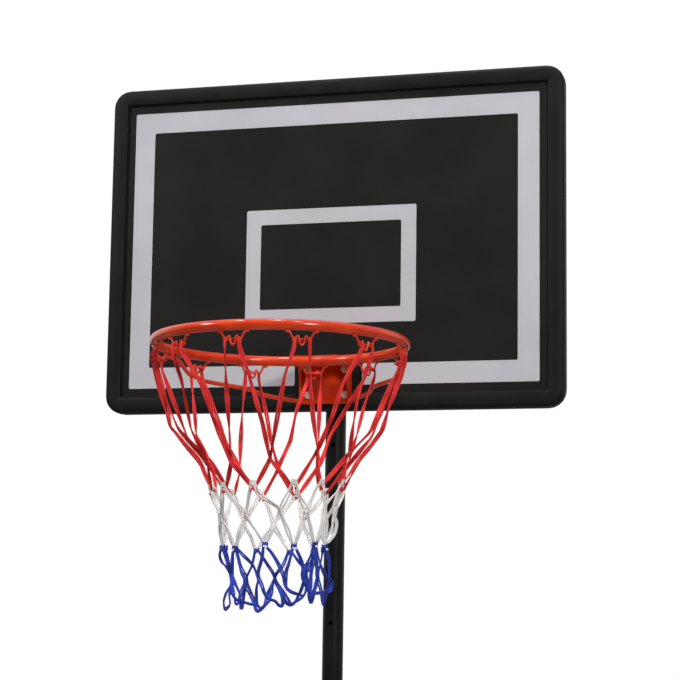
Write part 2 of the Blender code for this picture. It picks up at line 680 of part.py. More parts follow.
def make_struts(material, metal):
    tab = 2 * STRUT_TAB_HALF_THICKNESS
    for name, way in (("left", -1), ("right", 1)):
        make_strut(f"strut_{name}", way, material)
        seat = TANK_HEIGHT + SEAT_GAP + tab + SEAT_GAP
        screw = bolt_mesh("Z", 1, STRUT_BOLT_RADIUS, STRUT_BOLT_HEAD_RADIUS, STRUT_BOLT_HEAD_HEIGHT,
                          tab + 2 * SEAT_GAP + STRUT_SCREW_BITE)
        make_object(f"strut_foot_screw_{name}", screw, metal,
                    place=(way * STRUT_FOOT_X, STRUT_FOOT_Y, seat))
    face = TAB_X + STRUT_TAB_HALF_THICKNESS + SEAT_GAP
    bolt = bolt_mesh("X", 1, STRUT_BOLT_RADIUS, STRUT_BOLT_HEAD_RADIUS, STRUT_BOLT_HEAD_HEIGHT,
                     2 * face + STRUT_NUT_HEIGHT + BOLT_END_PAST_NUT)
    make_object("strut_bolt", bolt, metal, place=(face, 0.0, STRUT_TOP_HEIGHT))
    nut = nut_mesh("X", -1, STRUT_BOLT_RADIUS, STRUT_BOLT_HEAD_RADIUS, STRUT_NUT_HEIGHT)
    make_object("strut_nut", nut, metal, place=(-face, 0.0, STRUT_TOP_HEIGHT))


def make_poles(material, plastic, metal):
    """The lower pole with its foot plug and swaged spigot, the middle pole, and the bolt across the joint."""
    plug = turned([(POLE_RADIUS, 0.0), (POLE_RADIUS, PLUG_HEAD), (SPIGOT_RADIUS, PLUG_HEAD),
                   (SPIGOT_RADIUS, PLUG_HEAD + PLUG_LENGTH)])
    make_object("pole_foot_plug", plug, plastic, place=(0.0, 0.0, TANK_WALL + SEAT_GAP))
    shoulder = POLE_JOINT_HEIGHT
    spigot_top = shoulder + SPIGOT_LENGTH
    spigot_bore = SPIGOT_RADIUS - TUBE_WALL
    lower = turned([(POLE_BORE, POLE_FOOT_Z), (POLE_RADIUS, POLE_FOOT_Z), (POLE_RADIUS, shoulder),
                    (SPIGOT_RADIUS, shoulder), (SPIGOT_RADIUS, spigot_top), (spigot_bore, spigot_top),
                    (spigot_bore, shoulder - SWAGE_START), (POLE_BORE, shoulder - SWAGE_END)], ring=True)
    lower_pole = make_object("pole_lower", lower, material)
    middle = tube(POLE_RADIUS, POLE_BORE, shoulder + SEAT_GAP, POLE_TOP)
    middle_pole = make_object("pole_middle", middle, material)
    joint_z = shoulder + SPIGOT_LENGTH / 2
    reach = POLE_RADIUS + OVERCUT
    joint_hole = JOINT_BOLT_RADIUS + BOLT_CLEARANCE
    cut(lower_pole, gathered([
        rod(STRUT_BOLT_RADIUS + BOLT_CLEARANCE, -reach, reach, "X", (0.0, STRUT_TOP_HEIGHT)),
        rod(joint_hole, -reach, reach, "X", (0.0, joint_z))]))
    cut(middle_pole, rod(joint_hole, -reach, reach, "X", (0.0, joint_z)))
    cut(middle_pole, lock_drill())
    face = POLE_RADIUS + SEAT_GAP
    bolt = bolt_mesh("X", 1, JOINT_BOLT_RADIUS, JOINT_BOLT_HEAD_RADIUS, JOINT_BOLT_HEAD_HEIGHT,
                     2 * face + JOINT_NUT_HEIGHT + BOLT_END_PAST_NUT)
    make_object("joint_bolt", bolt, metal, place=(face, 0.0, joint_z))
    nut = nut_mesh("X", -1, JOINT_BOLT_RADIUS, JOINT_BOLT_HEAD_RADIUS, JOINT_NUT_HEIGHT)
    make_object("joint_nut", nut, metal, place=(-face, 0.0, joint_z))


def lock_drill():
    hole = LOCK_SCREW_RADIUS + BOLT_CLEARANCE
    return rod(hole, MAST_BORE, LOCK_BOSS_END + OVERCUT, "Y", (0.0, LOCK_Z), BOSS_SIDES)


def make_collar(plastic):
    """The guide collar caps the middle pole, lines its mouth and holds the lock screw."""
    bore = MAST_RADIUS + SEAT_GAP
    top = LOCK_Z + COLLAR_ABOVE_LOCK
    bottom = LOCK_Z - COLLAR_BELOW_LOCK
    sleeve_foot = LOCK_Z - COLLAR_SLEEVE_BELOW
    groove_inner = POLE_BORE - SEAT_GAP
    groove_outer = POLE_RADIUS + SEAT_GAP
    groove_top = POLE_TOP + SEAT_GAP
    profile = [(bore, sleeve_foot), (groove_inner, sleeve_foot), (groove_inner, groove_top),
               (groove_outer, groove_top), (groove_outer, bottom), (COLLAR_RADIUS, bottom),
               (COLLAR_RADIUS, top - COLLAR_TAPER_HEIGHT), (COLLAR_RADIUS - COLLAR_TAPER, top), (bore, top)]
    collar = make_object("guide_collar", turned(profile, ring=True), plastic)
    boss = rod(LOCK_BOSS_RADIUS, COLLAR_RADIUS - COLLAR_TAPER, LOCK_BOSS_END, "Y", (0.0, LOCK_Z), BOSS_SIDES)
    join(collar, boss)
    cut(collar, lock_drill())


def make_lock_knob(plastic):
    """The knob and its screw turn as one. Eased, as here, the screw's pin stops just short of the mast."""
    sides = KNOB_LOBES * 4
    tip = MAST_RADIUS + SEAT_GAP
    back = LOCK_BOSS_END + SEAT_GAP
    screw = circle(LOCK_SCREW_RADIUS, sides)
    pin = circle(LOCK_PIN_RADIUS, sides)
    neck = circle(LOCK_BOSS_RADIUS, sides)
    small = lobed(KNOB_RADIUS * KNOB_WAIST, KNOB_LOBE, KNOB_LOBES, sides)
    full = lobed(KNOB_RADIUS, KNOB_LOBE, KNOB_LOBES, sides)
    pin_end = tip + LOCK_PIN_LENGTH
    mesh = loft([(pin, tip), (pin, pin_end), (screw, pin_end + LOCK_PIN_TAPER), (screw, back), (neck, back),
                 (small, back + KNOB_LENGTH * KNOB_FLARE_START), (full, back + KNOB_LENGTH * KNOB_FLARE_END),
                 (full, back + KNOB_LENGTH * KNOB_CROWN_START), (small, back + KNOB_LENGTH)], "Y")
    make_object("lock_knob", mesh, plastic, place=(0.0, 0.0, LOCK_Z))


# Mast and backboard, in the frame of an empty on the mast's axis at the board's middle height

def make_mast(carriage, steel, plastic):
    bottom = -LAST_HOLE_DROP - MAST_BELOW_LAST_HOLE
    mast = make_object("mast_upper", tube(MAST_RADIUS, MAST_BORE, bottom, MAST_TOP), steel, carriage)
    reach = MAST_RADIUS + OVERCUT
    drops = [FIRST_HOLE_DROP + HOLE_PITCH * i for i in range(HOLE_COUNT)]
    cut(mast, gathered([rod(MAST_HOLE_RADIUS, -reach, reach, "Y", (0.0, -drop)) for drop in drops]))
    spigot = MAST_BORE - SEAT_GAP
    cap = turned([(spigot, -PLUG_LENGTH), (spigot, 0.0), (MAST_RADIUS, 0.0),
                  (MAST_RADIUS, PLUG_HEAD * PLUG_EDGE_SHARE), (MAST_RADIUS * PLUG_CROWN_SHARE, PLUG_HEAD)])
    make_object("mast_top_cap", cap, plastic, carriage, (0.0, 0.0, MAST_TOP + SEAT_GAP))
    ride = POLE_BORE - SEAT_GAP
    glide = turned([(GLIDE_BORE_RADIUS, -GLIDE_HEIGHT), (ride, -GLIDE_HEIGHT), (ride, 0.0), (spigot, 0.0),
                    (spigot, PLUG_LENGTH), (GLIDE_BORE_RADIUS, PLUG_LENGTH)], ring=True)
    make_object("mast_glide", glide, plastic, carriage, (0.0, 0.0, bottom - SEAT_GAP))


def board_section(inset, y):
    radius = max(BOARD_CORNER_RADIUS - inset, BOARD_EDGE_BREAK)
    return rounded_rectangle(BOARD_WIDTH / 2 - inset, BOARD_HEIGHT / 2 - inset, radius), y


def shell_sections():
    """From the shell's flat back round its outer edge, over the bead and down to the web's front."""
    outer = BEAD_ROUNDING
    inner = BEAD_INNER_ROUNDING
    edge = BOARD_EDGE_BREAK
    sections = [board_section(edge, SHELL_BACK_Y), board_section(0.0, SHELL_BACK_Y - edge)]
    for angle in BEAD_OUTER_ANGLES:
        inset = outer - outer * math.cos(angle)
        sections.append(board_section(inset, BEAD_CREST_Y + outer - outer * math.sin(angle)))
    for angle in BEAD_INNER_ANGLES:
        inset = BEAD_WIDTH - inner + inner * math.sin(angle)
        sections.append(board_section(inset, BEAD_CREST_Y + inner - inner * math.cos(angle)))
    return sections + [board_section(BEAD_WIDTH, WEB_FRONT_Y)]


def pocket_cells():
    """(column, row) of each hollow cell behind the web. The bolted cells stay solid."""
    middle = RIB_COLUMNS // 2
    solid = {(middle, 0), (middle, UPPER_BOSS_ROW)}
    cells = [(column, row) for column in range(RIB_COLUMNS) for row in range(RIB_ROWS)]
    return [cell for cell in cells if cell not in solid]


def pad_outline(margin):
    """The raised pad behind the rim bracket: straight sides and an arched top."""
    half = PAD_HALF_WIDTH + margin
    rise = PAD_ARCH_RISE + margin
    bottom = BOARD_FOOT + PAD_EDGE_MARGIN - margin
    outline = [(-half, bottom), (half, bottom)]
    for i in range(ARC_STEPS + 1):
        angle = math.pi * i / ARC_STEPS
        outline.append((half * math.cos(angle), BOARD_FOOT + PAD_ARCH_START + rise * math.sin(angle)))
    return outline


def rim_bolt_places():
    return [(side * RIM_BOLT_SPREAD, BOARD_FOOT + height) for height in RIM_BOLT_HEIGHTS for side in (-1, 1)]


def clamp_screw_places():
    return [(side * RIM_BOLT_SPREAD, UPPER_BOSS_Z) for side in (-1, 1)]


def make_board(carriage, plastic, printed):
    """The moulded shell, ribbed behind, and the printed sheet that lies inside its bead."""
    shell = make_object("board_shell", loft(shell_sections(), "Y"), plastic, carriage)
    pocket_front = WEB_FRONT_Y + WEB_THICKNESS
    left = -BOARD_WIDTH / 2 + SHELL_WALL
    foot = BOARD_FOOT + SHELL_WALL
    pockets = []
    for column, row in pocket_cells():
        x = left + column * CELL_WIDTH
        z = foot + row * CELL_HEIGHT
        outline = box_outline(x, x + CELL_WIDTH - RIB_THICKNESS, z, z + CELL_HEIGHT - RIB_THICKNESS)
        pockets.append(prism(outline, pocket_front, SHELL_BACK_Y + OVERCUT, "Y"))
    pockets = cut(shell, gathered(pockets))
    outline, _ = board_section(SHELL_WALL, SHELL_BACK_Y)
    frame = prism(outline, pocket_front - OVERCUT, SHELL_BACK_Y + 2 * OVERCUT, "Y")
    shape_with(pockets, frame, "INTERSECT")
    join(shell, prism(pad_outline(0.0), WEB_FRONT_Y + WEB_THICKNESS / 2, PAD_FRONT_Y, "Y"))
    past_back = SHELL_BACK_Y + OVERCUT
    bolt_hole = RIM_BOLT_RADIUS + BOLT_CLEARANCE
    cut(shell, gathered([rod(bolt_hole, PAD_FRONT_Y - OVERCUT, past_back, "Y", place)
                         for place in rim_bolt_places()]))
    screw_end = SHELL_BACK_Y - SCREW_BITE - SCREW_HOLE_SPARE
    cut(shell, gathered([rod(SCREW_RADIUS + BOLT_CLEARANCE, screw_end, past_back, "Y", place)
                         for place in clamp_screw_places()]))

    outline, _ = board_section(BEAD_WIDTH + SEAT_GAP, FACE_Y)
    sheet = prism(outline, FACE_Y, FACE_Y + FACE_THICKNESS, "Y")
    face = make_object("board_face", sheet, printed, carriage)
    cut(face, prism(pad_outline(SEAT_GAP), FACE_Y - OVERCUT, FACE_Y + OVERCUT, "Y"))


def clamp_outline():
    """A hat-shaped strap round the back of the mast, seen from above."""
    inner = MAST_RADIUS + SEAT_GAP
    outer = inner + CLAMP_SHEET
    return ([(-CLAMP_HALF_WIDTH, CLAMP_FRONT_Y), (-CLAMP_HALF_WIDTH, CLAMP_BACK_Y)]
            + [(-outer, CLAMP_BACK_Y)] + arc(0.0, 0.0, outer, 180, 0, ARC_STEPS) + [(outer, CLAMP_BACK_Y)]
            + [(CLAMP_HALF_WIDTH, CLAMP_BACK_Y), (CLAMP_HALF_WIDTH, CLAMP_FRONT_Y)]
            + [(inner, CLAMP_FRONT_Y)] + arc(0.0, 0.0, inner, 0, 180, ARC_STEPS) + [(-inner, CLAMP_FRONT_Y)])


def saddle_outline():
    """The block between the board's back and the mast, hollowed to the tube."""
    radius = MAST_RADIUS + SEAT_GAP
    edge = math.degrees(math.asin(SADDLE_HALF_WIDTH / radius))
    return ([(-SADDLE_HALF_WIDTH, CLAMP_FRONT_Y), (SADDLE_HALF_WIDTH, CLAMP_FRONT_Y)]
            + arc(0.0, 0.0, radius, -90 + edge, -90 - edge, ARC_STEPS))


def make_clamps(carriage, steel, plastic, metal):
    """Rear brackets and saddles. The lower bracket shares the rim bolts, the upper one has its own screws."""
    for name, middle, height in (("lower", LOWER_CLAMP_Z, LOWER_CLAMP_HEIGHT),
                                 ("upper", UPPER_BOSS_Z, UPPER_CLAMP_HEIGHT)):
        low = middle - height / 2
        high = middle + height / 2
        clamp = make_object(f"rear_bracket_{name}", prism(clamp_outline(), low, high, "Z"), steel, carriage)
        places = rim_bolt_places() if name == "lower" else clamp_screw_places()
        radius = RIM_BOLT_RADIUS if name == "lower" else SCREW_RADIUS
        hole = radius + BOLT_CLEARANCE
        cut(clamp, gathered([rod(hole, CLAMP_FRONT_Y - OVERCUT, CLAMP_BACK_Y + OVERCUT, "Y", place)
                             for place in places]))
        make_object(f"mast_saddle_{name}", prism(saddle_outline(), low, high, "Z"), plastic, carriage)
    for (x, z), name in zip(clamp_screw_places(), ("left", "right")):
        screw = bolt_mesh("Y", 1, SCREW_RADIUS, SCREW_HEAD_RADIUS, SCREW_HEAD_HEIGHT,
                          CLAMP_SHEET + 2 * SEAT_GAP + SCREW_BITE)
        make_object(f"bracket_screw_{name}", screw, metal, carriage, (x, CLAMP_BACK_Y + SEAT_GAP, z))


# Rim

def make_rim_bracket(carriage, orange):
    """A folded channel: back plate, side flanges that flare into gussets, a tongue that meets the ring."""
    half = BRACKET_WIDTH / 2
    sheet = BRACKET_SHEET
    tongue_top = TONGUE_Z + sheet
    foot = RING_Z - BRACKET_DROP
    tip = RING_Y + RING_RADIUS
    gusset = RING_Y + RING_RADIUS + RING_TUBE_RADIUS + GUSSET_BEHIND_RING
    profile = [(PLATE_BACK_Y, foot), (PLATE_BACK_Y, tongue_top), (tip, tongue_top), (tip, TONGUE_Z),
               (gusset, TONGUE_Z), (gusset, TONGUE_Z - GUSSET_EDGE)]
    profile += [(PLATE_FRONT_Y - BRACKET_LIP_DEPTH * reach, TONGUE_Z - BRACKET_DROP * drop)
                for reach, drop in GUSSET_CURVE]
    profile.append((PLATE_FRONT_Y - BRACKET_LIP_DEPTH * LIP_FOOT_SHARE, foot))
    bracket = make_object("rim_bracket", prism(profile, -half, half, "X"), orange, carriage)
    inside = box_outline(tip - OVERCUT, PLATE_FRONT_Y, foot - OVERCUT, TONGUE_Z)
    cut(bracket, prism(inside, -half + sheet, half - sheet, "X"))
    cut(bracket, rod(TONGUE_TIP_RADIUS, TONGUE_Z - OVERCUT, tongue_top + OVERCUT, "Z", (0.0, RING_Y),
                     RING_SIDES))
    hole = RIM_BOLT_RADIUS + BOLT_CLEARANCE
    cut(bracket, gathered([rod(hole, PLATE_FRONT_Y - OVERCUT, PLATE_BACK_Y + OVERCUT, "Y", place)
                           for place in rim_bolt_places()]))


def make_rim_bolts(carriage, metal):
    """Each bolt runs through the bracket, the pad, the shell and the lower rear bracket to its nut."""
    head_seat = PLATE_FRONT_Y - SEAT_GAP
    nut_seat = CLAMP_BACK_Y + SEAT_GAP
    length = nut_seat - head_seat + RIM_NUT_HEIGHT + BOLT_END_PAST_NUT
    names = ("upper_left", "upper_right", "lower_left", "lower_right")
    for name, (x, z) in zip(names, rim_bolt_places()):
        bolt = bolt_mesh("Y", -1, RIM_BOLT_RADIUS, RIM_BOLT_HEAD_RADIUS, RIM_BOLT_HEAD_HEIGHT, length)
        make_object(f"rim_bolt_{name}", bolt, metal, carriage, (x, head_seat, z))
        nut = nut_mesh("Y", 1, RIM_BOLT_RADIUS, RIM_BOLT_HEAD_RADIUS, RIM_NUT_HEIGHT)
        make_object(f"rim_nut_{name}", nut, metal, carriage, (x, nut_seat, z))


def on_ring(angle, along, drop, radius):
    """A point near the ring: an angle from the front, a way along the ring there, a drop below its plane."""
    outward = Vector((math.sin(angle), -math.cos(angle), 0.0))
    tangent = Vector((math.cos(angle), math.sin(angle), 0.0))
    return Vector((0.0, RING_Y, RING_Z - drop)) + outward * radius + tangent * along


def make_ring(carriage, orange):
    rows = []
    for i in range(RING_SIDES):
        angle = math.tau * i / RING_SIDES
        rows.append([on_ring(angle, 0.0, height, RING_RADIUS + across)
                     for height, across in circle(RING_TUBE_RADIUS, RING_TUBE_SIDES)])
    make_object("rim_ring", skin(rows, ring=True), orange, carriage)


def brace_points():
    """From under the ring's side down and back to the outside of the bracket's lower corner."""
    start_drop = RING_TUBE_RADIUS + SEAT_GAP + BRACE_RADIUS
    flange_x = BRACKET_WIDTH / 2 + SEAT_GAP + BRACE_RADIUS
    foot_z = RING_Z - BRACKET_DROP + BRACE_FOOT_ABOVE_EDGE
    end_y = PLATE_BACK_Y - BRACE_END_INSET
    flat_y = end_y - BRACE_FLAT_LENGTH
    bend_y = flat_y - BRACE_BEND_LENGTH
    points = [on_ring(math.radians(angle), 0.0, start_drop, RING_RADIUS) for angle in BRACE_SEAT_ANGLES]
    points += [on_ring(math.radians(angle), 0.0, BRACKET_DROP * drop, RING_RADIUS * radius)
               for angle, drop, radius in BRACE_ROUTE]
    points += [Vector((flange_x + SEAT_GAP + BRACE_RADIUS, bend_y, foot_z)),
               Vector((flange_x + SEAT_GAP, flat_y, foot_z)), Vector((flange_x, end_y, foot_z))]
    return points


def make_braces(carriage, orange):
    path = smooth_path(brace_points(), 2)
    for name, way in (("left", -1), ("right", 1)):
        points = [Vector((way * point.x, point.y, point.z)) for point in path]
        brace = swept(points, BRACE_RADIUS, BRACE_SIDES, Vector((0.0, 0.0, 1.0)))
        make_object(f"brace_rod_{name}", brace, orange, carriage)


def row_angle(index, offset):
    """The angle of a hook at offset 0, and of the middle between it and the next hook at offset 1."""
    angle = HOOK_ANGLES[index % HOOK_COUNT]
    step = (HOOK_ANGLES[(index + 1) % HOOK_COUNT] - angle) % 360.0
    return math.radians(angle + step * offset / 2)


def hook_half():
    """Half of the hook's W, from its foot under the tube to its tip: (along the ring, below its plane)."""
    tube_bottom = RING_TUBE_RADIUS
    valley = HOOK_VALLEY_SPREAD
    half_width = HOOK_VALLEY_WIDTH / 2
    valley_drop = tube_bottom + HOOK_VALLEY_DROP
    side_drop = valley_drop - half_width * HOOK_VALLEY_DEPTH
    cheek = half_width * HOOK_CHEEK_SPREAD
    cheek_drop = valley_drop - half_width * HOOK_CHEEK_DEPTH
    peak_drop = tube_bottom + HOOK_PEAK_DROP
    return [(HOOK_FOOT_SPREAD, tube_bottom + SEAT_GAP), (valley + half_width, side_drop),
            (valley + cheek, cheek_drop), (valley, valley_drop), (valley - cheek, cheek_drop),
            (valley - half_width, side_drop), (HOOK_PEAK_SPREAD, peak_drop)]


def make_hooks(carriage, orange):
    half = hook_half()
    tip = (0.0, RING_TUBE_RADIUS + HOOK_TIP_DROP)
    outline = [(-along, drop) for along, drop in half] + [tip] + half[::-1]
    for number in range(HOOK_COUNT):
        angle = row_angle(number, 0)
        points = [on_ring(angle, along, drop, RING_RADIUS) for along, drop in outline]
        outward = on_ring(angle, 0.0, 0.0, 1.0) - on_ring(angle, 0.0, 0.0, 0.0)
        hook = swept(points, HOOK_WIRE_RADIUS, WIRE_SIDES, outward)
        make_object(f"net_hook_{number + 1:02d}", hook, orange, carriage)


# Net: knots and four-sided strands that share their corners, so that each colour is one closed body

def net_row(shares):
    """A row's drop and radius from its shares."""
    return NET_DROP * shares[0], RING_RADIUS * shares[1]


def add_knot(bm, angle, drop, radius):
    """The corners of a flat diamond, each with a front and a back point."""
    outward = on_ring(angle, 0.0, 0.0, 1.0) - on_ring(angle, 0.0, 0.0, 0.0)
    tangent = on_ring(angle, 1.0, 0.0, 0.0) - on_ring(angle, 0.0, 0.0, 0.0)
    middle = on_ring(angle, 0.0, drop, radius)
    up = Vector((0.0, 0.0, 1.0))
    corners = {"top": up * KNOT_HALF_HEIGHT, "right": tangent * KNOT_HALF_WIDTH,
               "bottom": -up * KNOT_HALF_HEIGHT, "left": -tangent * KNOT_HALF_WIDTH}
    knot = {}
    for name, offset in corners.items():
        knot[name] = (bm.verts.new(middle + offset + outward * STRAND_HALF_THICKNESS),
                      bm.verts.new(middle + offset - outward * STRAND_HALF_THICKNESS))
    for side in (0, 1):
        bm.faces.new([knot[name][side] for name in ("top", "right", "bottom", "left")])
    return knot


def port(knot, upper, lower):
    """The four corners where a strand meets a knot: upper front, lower front, lower back, upper back."""
    return [knot[upper][0], knot[lower][0], knot[lower][1], knot[upper][1]]


def add_walls(bm, rings):
    for low, high in zip(rings, rings[1:]):
        for i in range(4):
            j = (i + 1) % 4
            bm.faces.new((low[i], low[j], high[j], high[i]))


def loop_points(angle, knot_drop):
    """Half of a top loop: up from the knot, through the hook's valley and round behind its tip."""
    valley = HOOK_VALLEY_SPREAD
    rest = RING_TUBE_RADIUS + HOOK_VALLEY_DROP - HOOK_WIRE_RADIUS - LOOP_HALF - LOOP_LIFT
    behind = RING_RADIUS + LOOP_BEHIND_WIRE
    under = (valley + LOOP_SPREAD, rest + LOOP_HANG, RING_RADIUS - LOOP_HANG)
    over = [(valley, rest, RING_RADIUS - LOOP_FRONT_OF_WIRE), (valley, rest, RING_RADIUS + LOOP_PAST_WIRE),
            (valley - LOOP_GATHER, rest, behind)]
    leg = []
    knot_swing = math.pi / HOOK_COUNT
    hook_swing = under[0] / under[2]
    for drop, radius in map(net_row, reversed(LEG_BENDS)):
        share = (knot_drop - drop) / (knot_drop - under[1])
        swing = knot_swing + (hook_swing - knot_swing) * share
        leg.append(on_ring(angle - swing, 0.0, drop, radius))
    return leg + [on_ring(angle, -along, drop, radius) for along, drop, radius in [under] + over]


def add_top_loop(bm, angle, start, end, knot_drop):
    """The cord from one first-row knot up over a hook and down to the next."""
    half = loop_points(angle, knot_drop)
    outward = on_ring(angle, 0.0, 0.0, 1.0) - on_ring(angle, 0.0, 0.0, 0.0)
    tangent = on_ring(angle, 1.0, 0.0, 0.0) - on_ring(angle, 0.0, 0.0, 0.0)
    origin = on_ring(angle, 0.0, 0.0, 0.0)
    top = origin + outward * (RING_RADIUS + LOOP_BEHIND_WIRE) + Vector((0.0, 0.0, half[-1].z - origin.z))
    mirrored = [point - tangent * (2 * (point - origin).dot(tangent)) for point in reversed(half)]
    path = half + [top] + mirrored
    frames = carried_frames(path, -tangent)
    rings = [start]
    for i, (point, (_, side, up)) in enumerate(zip(path, frames)):
        on_leg = min(i, len(path) - 1 - i) < len(LEG_BENDS)
        wide = STRAND_HALF_WIDTH if on_leg else LOOP_HALF
        thick = STRAND_HALF_THICKNESS if on_leg else LOOP_HALF
        rings.append([bm.verts.new(point + side * (a * wide) + up * (b * thick))
                      for a, b in ((1, 1), (-1, 1), (-1, -1), (1, -1))])
    rings.append(end)
    add_walls(bm, rings)


def close_ports(bm, knots, pairs):
    for knot in knots:
        for upper, lower in pairs:
            bm.faces.new(port(knot, upper, lower))


def add_knot_row(bm, drop, radius, offset):
    """One row of knots: under the hooks at offset 0, between them at offset 1."""
    return [add_knot(bm, row_angle(i, offset), drop, radius) for i in range(HOOK_COUNT)]


def add_cells(bm, upper, lower, upper_offset):
    """Two strands down from each knot of the upper row to its neighbours in the lower row."""
    for i in range(HOOK_COUNT):
        right = (i + upper_offset) % HOOK_COUNT
        left = right - 1
        add_walls(bm, [port(upper[i], "right", "bottom"), port(lower[right], "top", "left")])
        add_walls(bm, [port(upper[i], "left", "bottom"), port(lower[left], "top", "right")])


def make_red_net(carriage, material):
    """Twelve loops over the hooks, a row of knots between them, and a row of tips under them."""
    bm = bmesh.new()
    knot_drop, knot_radius = net_row(RED_ROWS[0])
    knots = add_knot_row(bm, knot_drop, knot_radius, 1)
    tips = add_knot_row(bm, *net_row(RED_ROWS[1]), 0)
    for i in range(HOOK_COUNT):
        start = port(knots[i - 1], "top", "right")
        end = port(knots[i], "top", "left")
        add_top_loop(bm, row_angle(i, 0), start, end, knot_drop)
    add_cells(bm, knots, tips, 1)
    close_ports(bm, tips, (("right", "bottom"), ("left", "bottom")))
    make_object("net_red", bm, material, carriage)


def make_lower_net(name, carriage, material, above, rows):
    """A section that hangs from the knots above: knots under them, a row between, and a row of tips."""
    bm = bmesh.new()
    tip_drop, tip_radius = net_row(above)
    top = add_knot_row(bm, tip_drop + 2 * KNOT_HALF_HEIGHT + SEAT_GAP, tip_radius, 0)
    middle = add_knot_row(bm, *net_row(rows[0]), 1)
    tips = add_knot_row(bm, *net_row(rows[1]), 0)
    add_cells(bm, top, middle, 0)
    add_cells(bm, middle, tips, 1)
    close_ports(bm, top, (("top", "right"), ("top", "left")))
    close_ports(bm, tips, (("right", "bottom"), ("left", "bottom")))
    make_object(name, bm, material, carriage)


def main():
    for old in list(bpy.data.objects):
        bpy.data.objects.remove(old, do_unlink=True)
    black_plastic = make_material("moulded_black_plastic", (0.016, 0.016, 0.015), 0.55)
    black_steel = make_material("powder_coated_black_steel", (0.010, 0.010, 0.010), 0.40)
    printed = make_material("printed_sheet", (0.019, 0.019, 0.018), 0.45)
    orange = make_material("orange_powder_coat", (0.730, 0.092, 0.020), 0.30)
    zinc = make_material("zinc_plate", (0.560, 0.520, 0.400), 0.35, 1.0)
    wheel_plastic = make_material("wheel_plastic", (0.020, 0.020, 0.020), 0.60)
    red_cord = make_material("red_cord", (0.610, 0.021, 0.026), 0.70)
    white_cord = make_material("white_cord", (0.620, 0.590, 0.550), 0.75)
    blue_cord = make_material("blue_cord", (0.021, 0.045, 0.480), 0.70)

    make_tank(black_plastic)
    make_filler_cap(black_plastic)
    make_wheels(wheel_plastic, zinc)
    make_struts(black_steel, zinc)
    make_poles(black_steel, black_plastic, zinc)
    make_collar(black_plastic)
    make_lock_knob(black_plastic)

    carriage = make_empty("mast_slide", (0.0, 0.0, BOARD_Z))
    make_mast(carriage, black_steel, black_plastic)
    make_board(carriage, black_plastic, printed)
    make_clamps(carriage, black_steel, black_plastic, zinc)
    make_rim_bracket(carriage, orange)
    make_rim_bolts(carriage, zinc)
    make_ring(carriage, orange)
    make_braces(carriage, orange)
    make_hooks(carriage, orange)
    make_red_net(carriage, red_cord)
    make_lower_net("net_white", carriage, white_cord, RED_ROWS[1], WHITE_ROWS)
    make_lower_net("net_blue", carriage, blue_cord, WHITE_ROWS[1], BLUE_ROWS)


main()
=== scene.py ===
"""Looks for a portable basketball stand: black moulded board, orange ring with wire hooks, three-colour cord net.

Lengths are in metres and +Z is up. The playing side faces -Y, and +X is on the right seen from there.
"""

import math
import random

import bmesh
import bpy
from mathutils import Matrix, Vector


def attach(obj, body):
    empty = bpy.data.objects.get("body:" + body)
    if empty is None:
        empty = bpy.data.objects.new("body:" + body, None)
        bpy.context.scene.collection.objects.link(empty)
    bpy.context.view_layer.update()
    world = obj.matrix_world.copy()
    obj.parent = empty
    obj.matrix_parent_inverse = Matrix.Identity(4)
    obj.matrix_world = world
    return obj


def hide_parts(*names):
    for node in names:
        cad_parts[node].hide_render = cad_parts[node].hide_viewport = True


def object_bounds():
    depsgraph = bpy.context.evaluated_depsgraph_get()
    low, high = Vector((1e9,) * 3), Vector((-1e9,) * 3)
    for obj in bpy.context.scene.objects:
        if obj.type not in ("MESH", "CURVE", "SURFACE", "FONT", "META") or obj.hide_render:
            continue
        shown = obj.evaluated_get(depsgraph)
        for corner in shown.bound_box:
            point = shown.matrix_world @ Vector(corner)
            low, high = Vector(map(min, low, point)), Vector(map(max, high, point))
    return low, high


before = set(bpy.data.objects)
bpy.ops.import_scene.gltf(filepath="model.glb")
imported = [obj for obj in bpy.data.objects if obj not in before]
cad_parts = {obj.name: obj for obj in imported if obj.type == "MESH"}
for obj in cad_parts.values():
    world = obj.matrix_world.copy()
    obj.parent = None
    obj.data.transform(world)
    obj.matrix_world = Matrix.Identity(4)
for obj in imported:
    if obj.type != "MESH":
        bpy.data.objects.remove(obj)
cad_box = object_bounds()

UP = Vector((0.0, 0.0, 1.0))
RIGHT = Vector((1.0, 0.0, 0.0))

# Photograph's view
LENS = 97.68
LENS_SHIFT = 0.045
CAMERA_PLACE = Vector((0.809, -3.029, 1.630))
CAMERA_YAW = math.radians(-14.85)
CAMERA_PITCH = math.radians(7.71)
CAMERA_ROLL = math.radians(0.81)
SENSOR_WIDTH = 36.0

# Soft studio lamps: (name, place, aimed at, size, watts)
LAMPS = (("right_lamp", (2.6, -3.2, 3.3), (0.0, -0.1, 2.0), 0.8, 90.0),
         ("left_lamp", (-2.7, -2.2, 4.2), (0.0, -0.1, 2.0), 0.6, 66.0),
         ("overhead_lamp", (0.0, -0.7, 5.0), (0.0, -0.3, 1.6), 0.45, 26.0),
         ("near_right_lamp", (1.0, -1.6, 4.8), (0.0, -0.3, 2.0), 0.28, 20.0),
         ("near_left_lamp", (-1.0, -1.2, 4.9), (0.0, -0.3, 2.0), 0.28, 20.0),
         ("back_lamp", (-1.0, 4.0, 3.2), (0.0, 0.1, 1.6), 2.0, 70.0))
# The room's strength as plain light, and as mirrored by what faces its front; its back is mirrored at full strength
ROOM_LIGHT = 0.15
ROOM_FRONT = 0.24
ROOM_FADE = 0.3
# The floor is lit for the camera from this share near the object to all of it further off
FLOOR_HALF_WIDTH = 30.0
FLOOR_NEAR_SHARE = 0.60
FLOOR_FADE_START = 0.8
FLOOR_FADE_END = 3.2

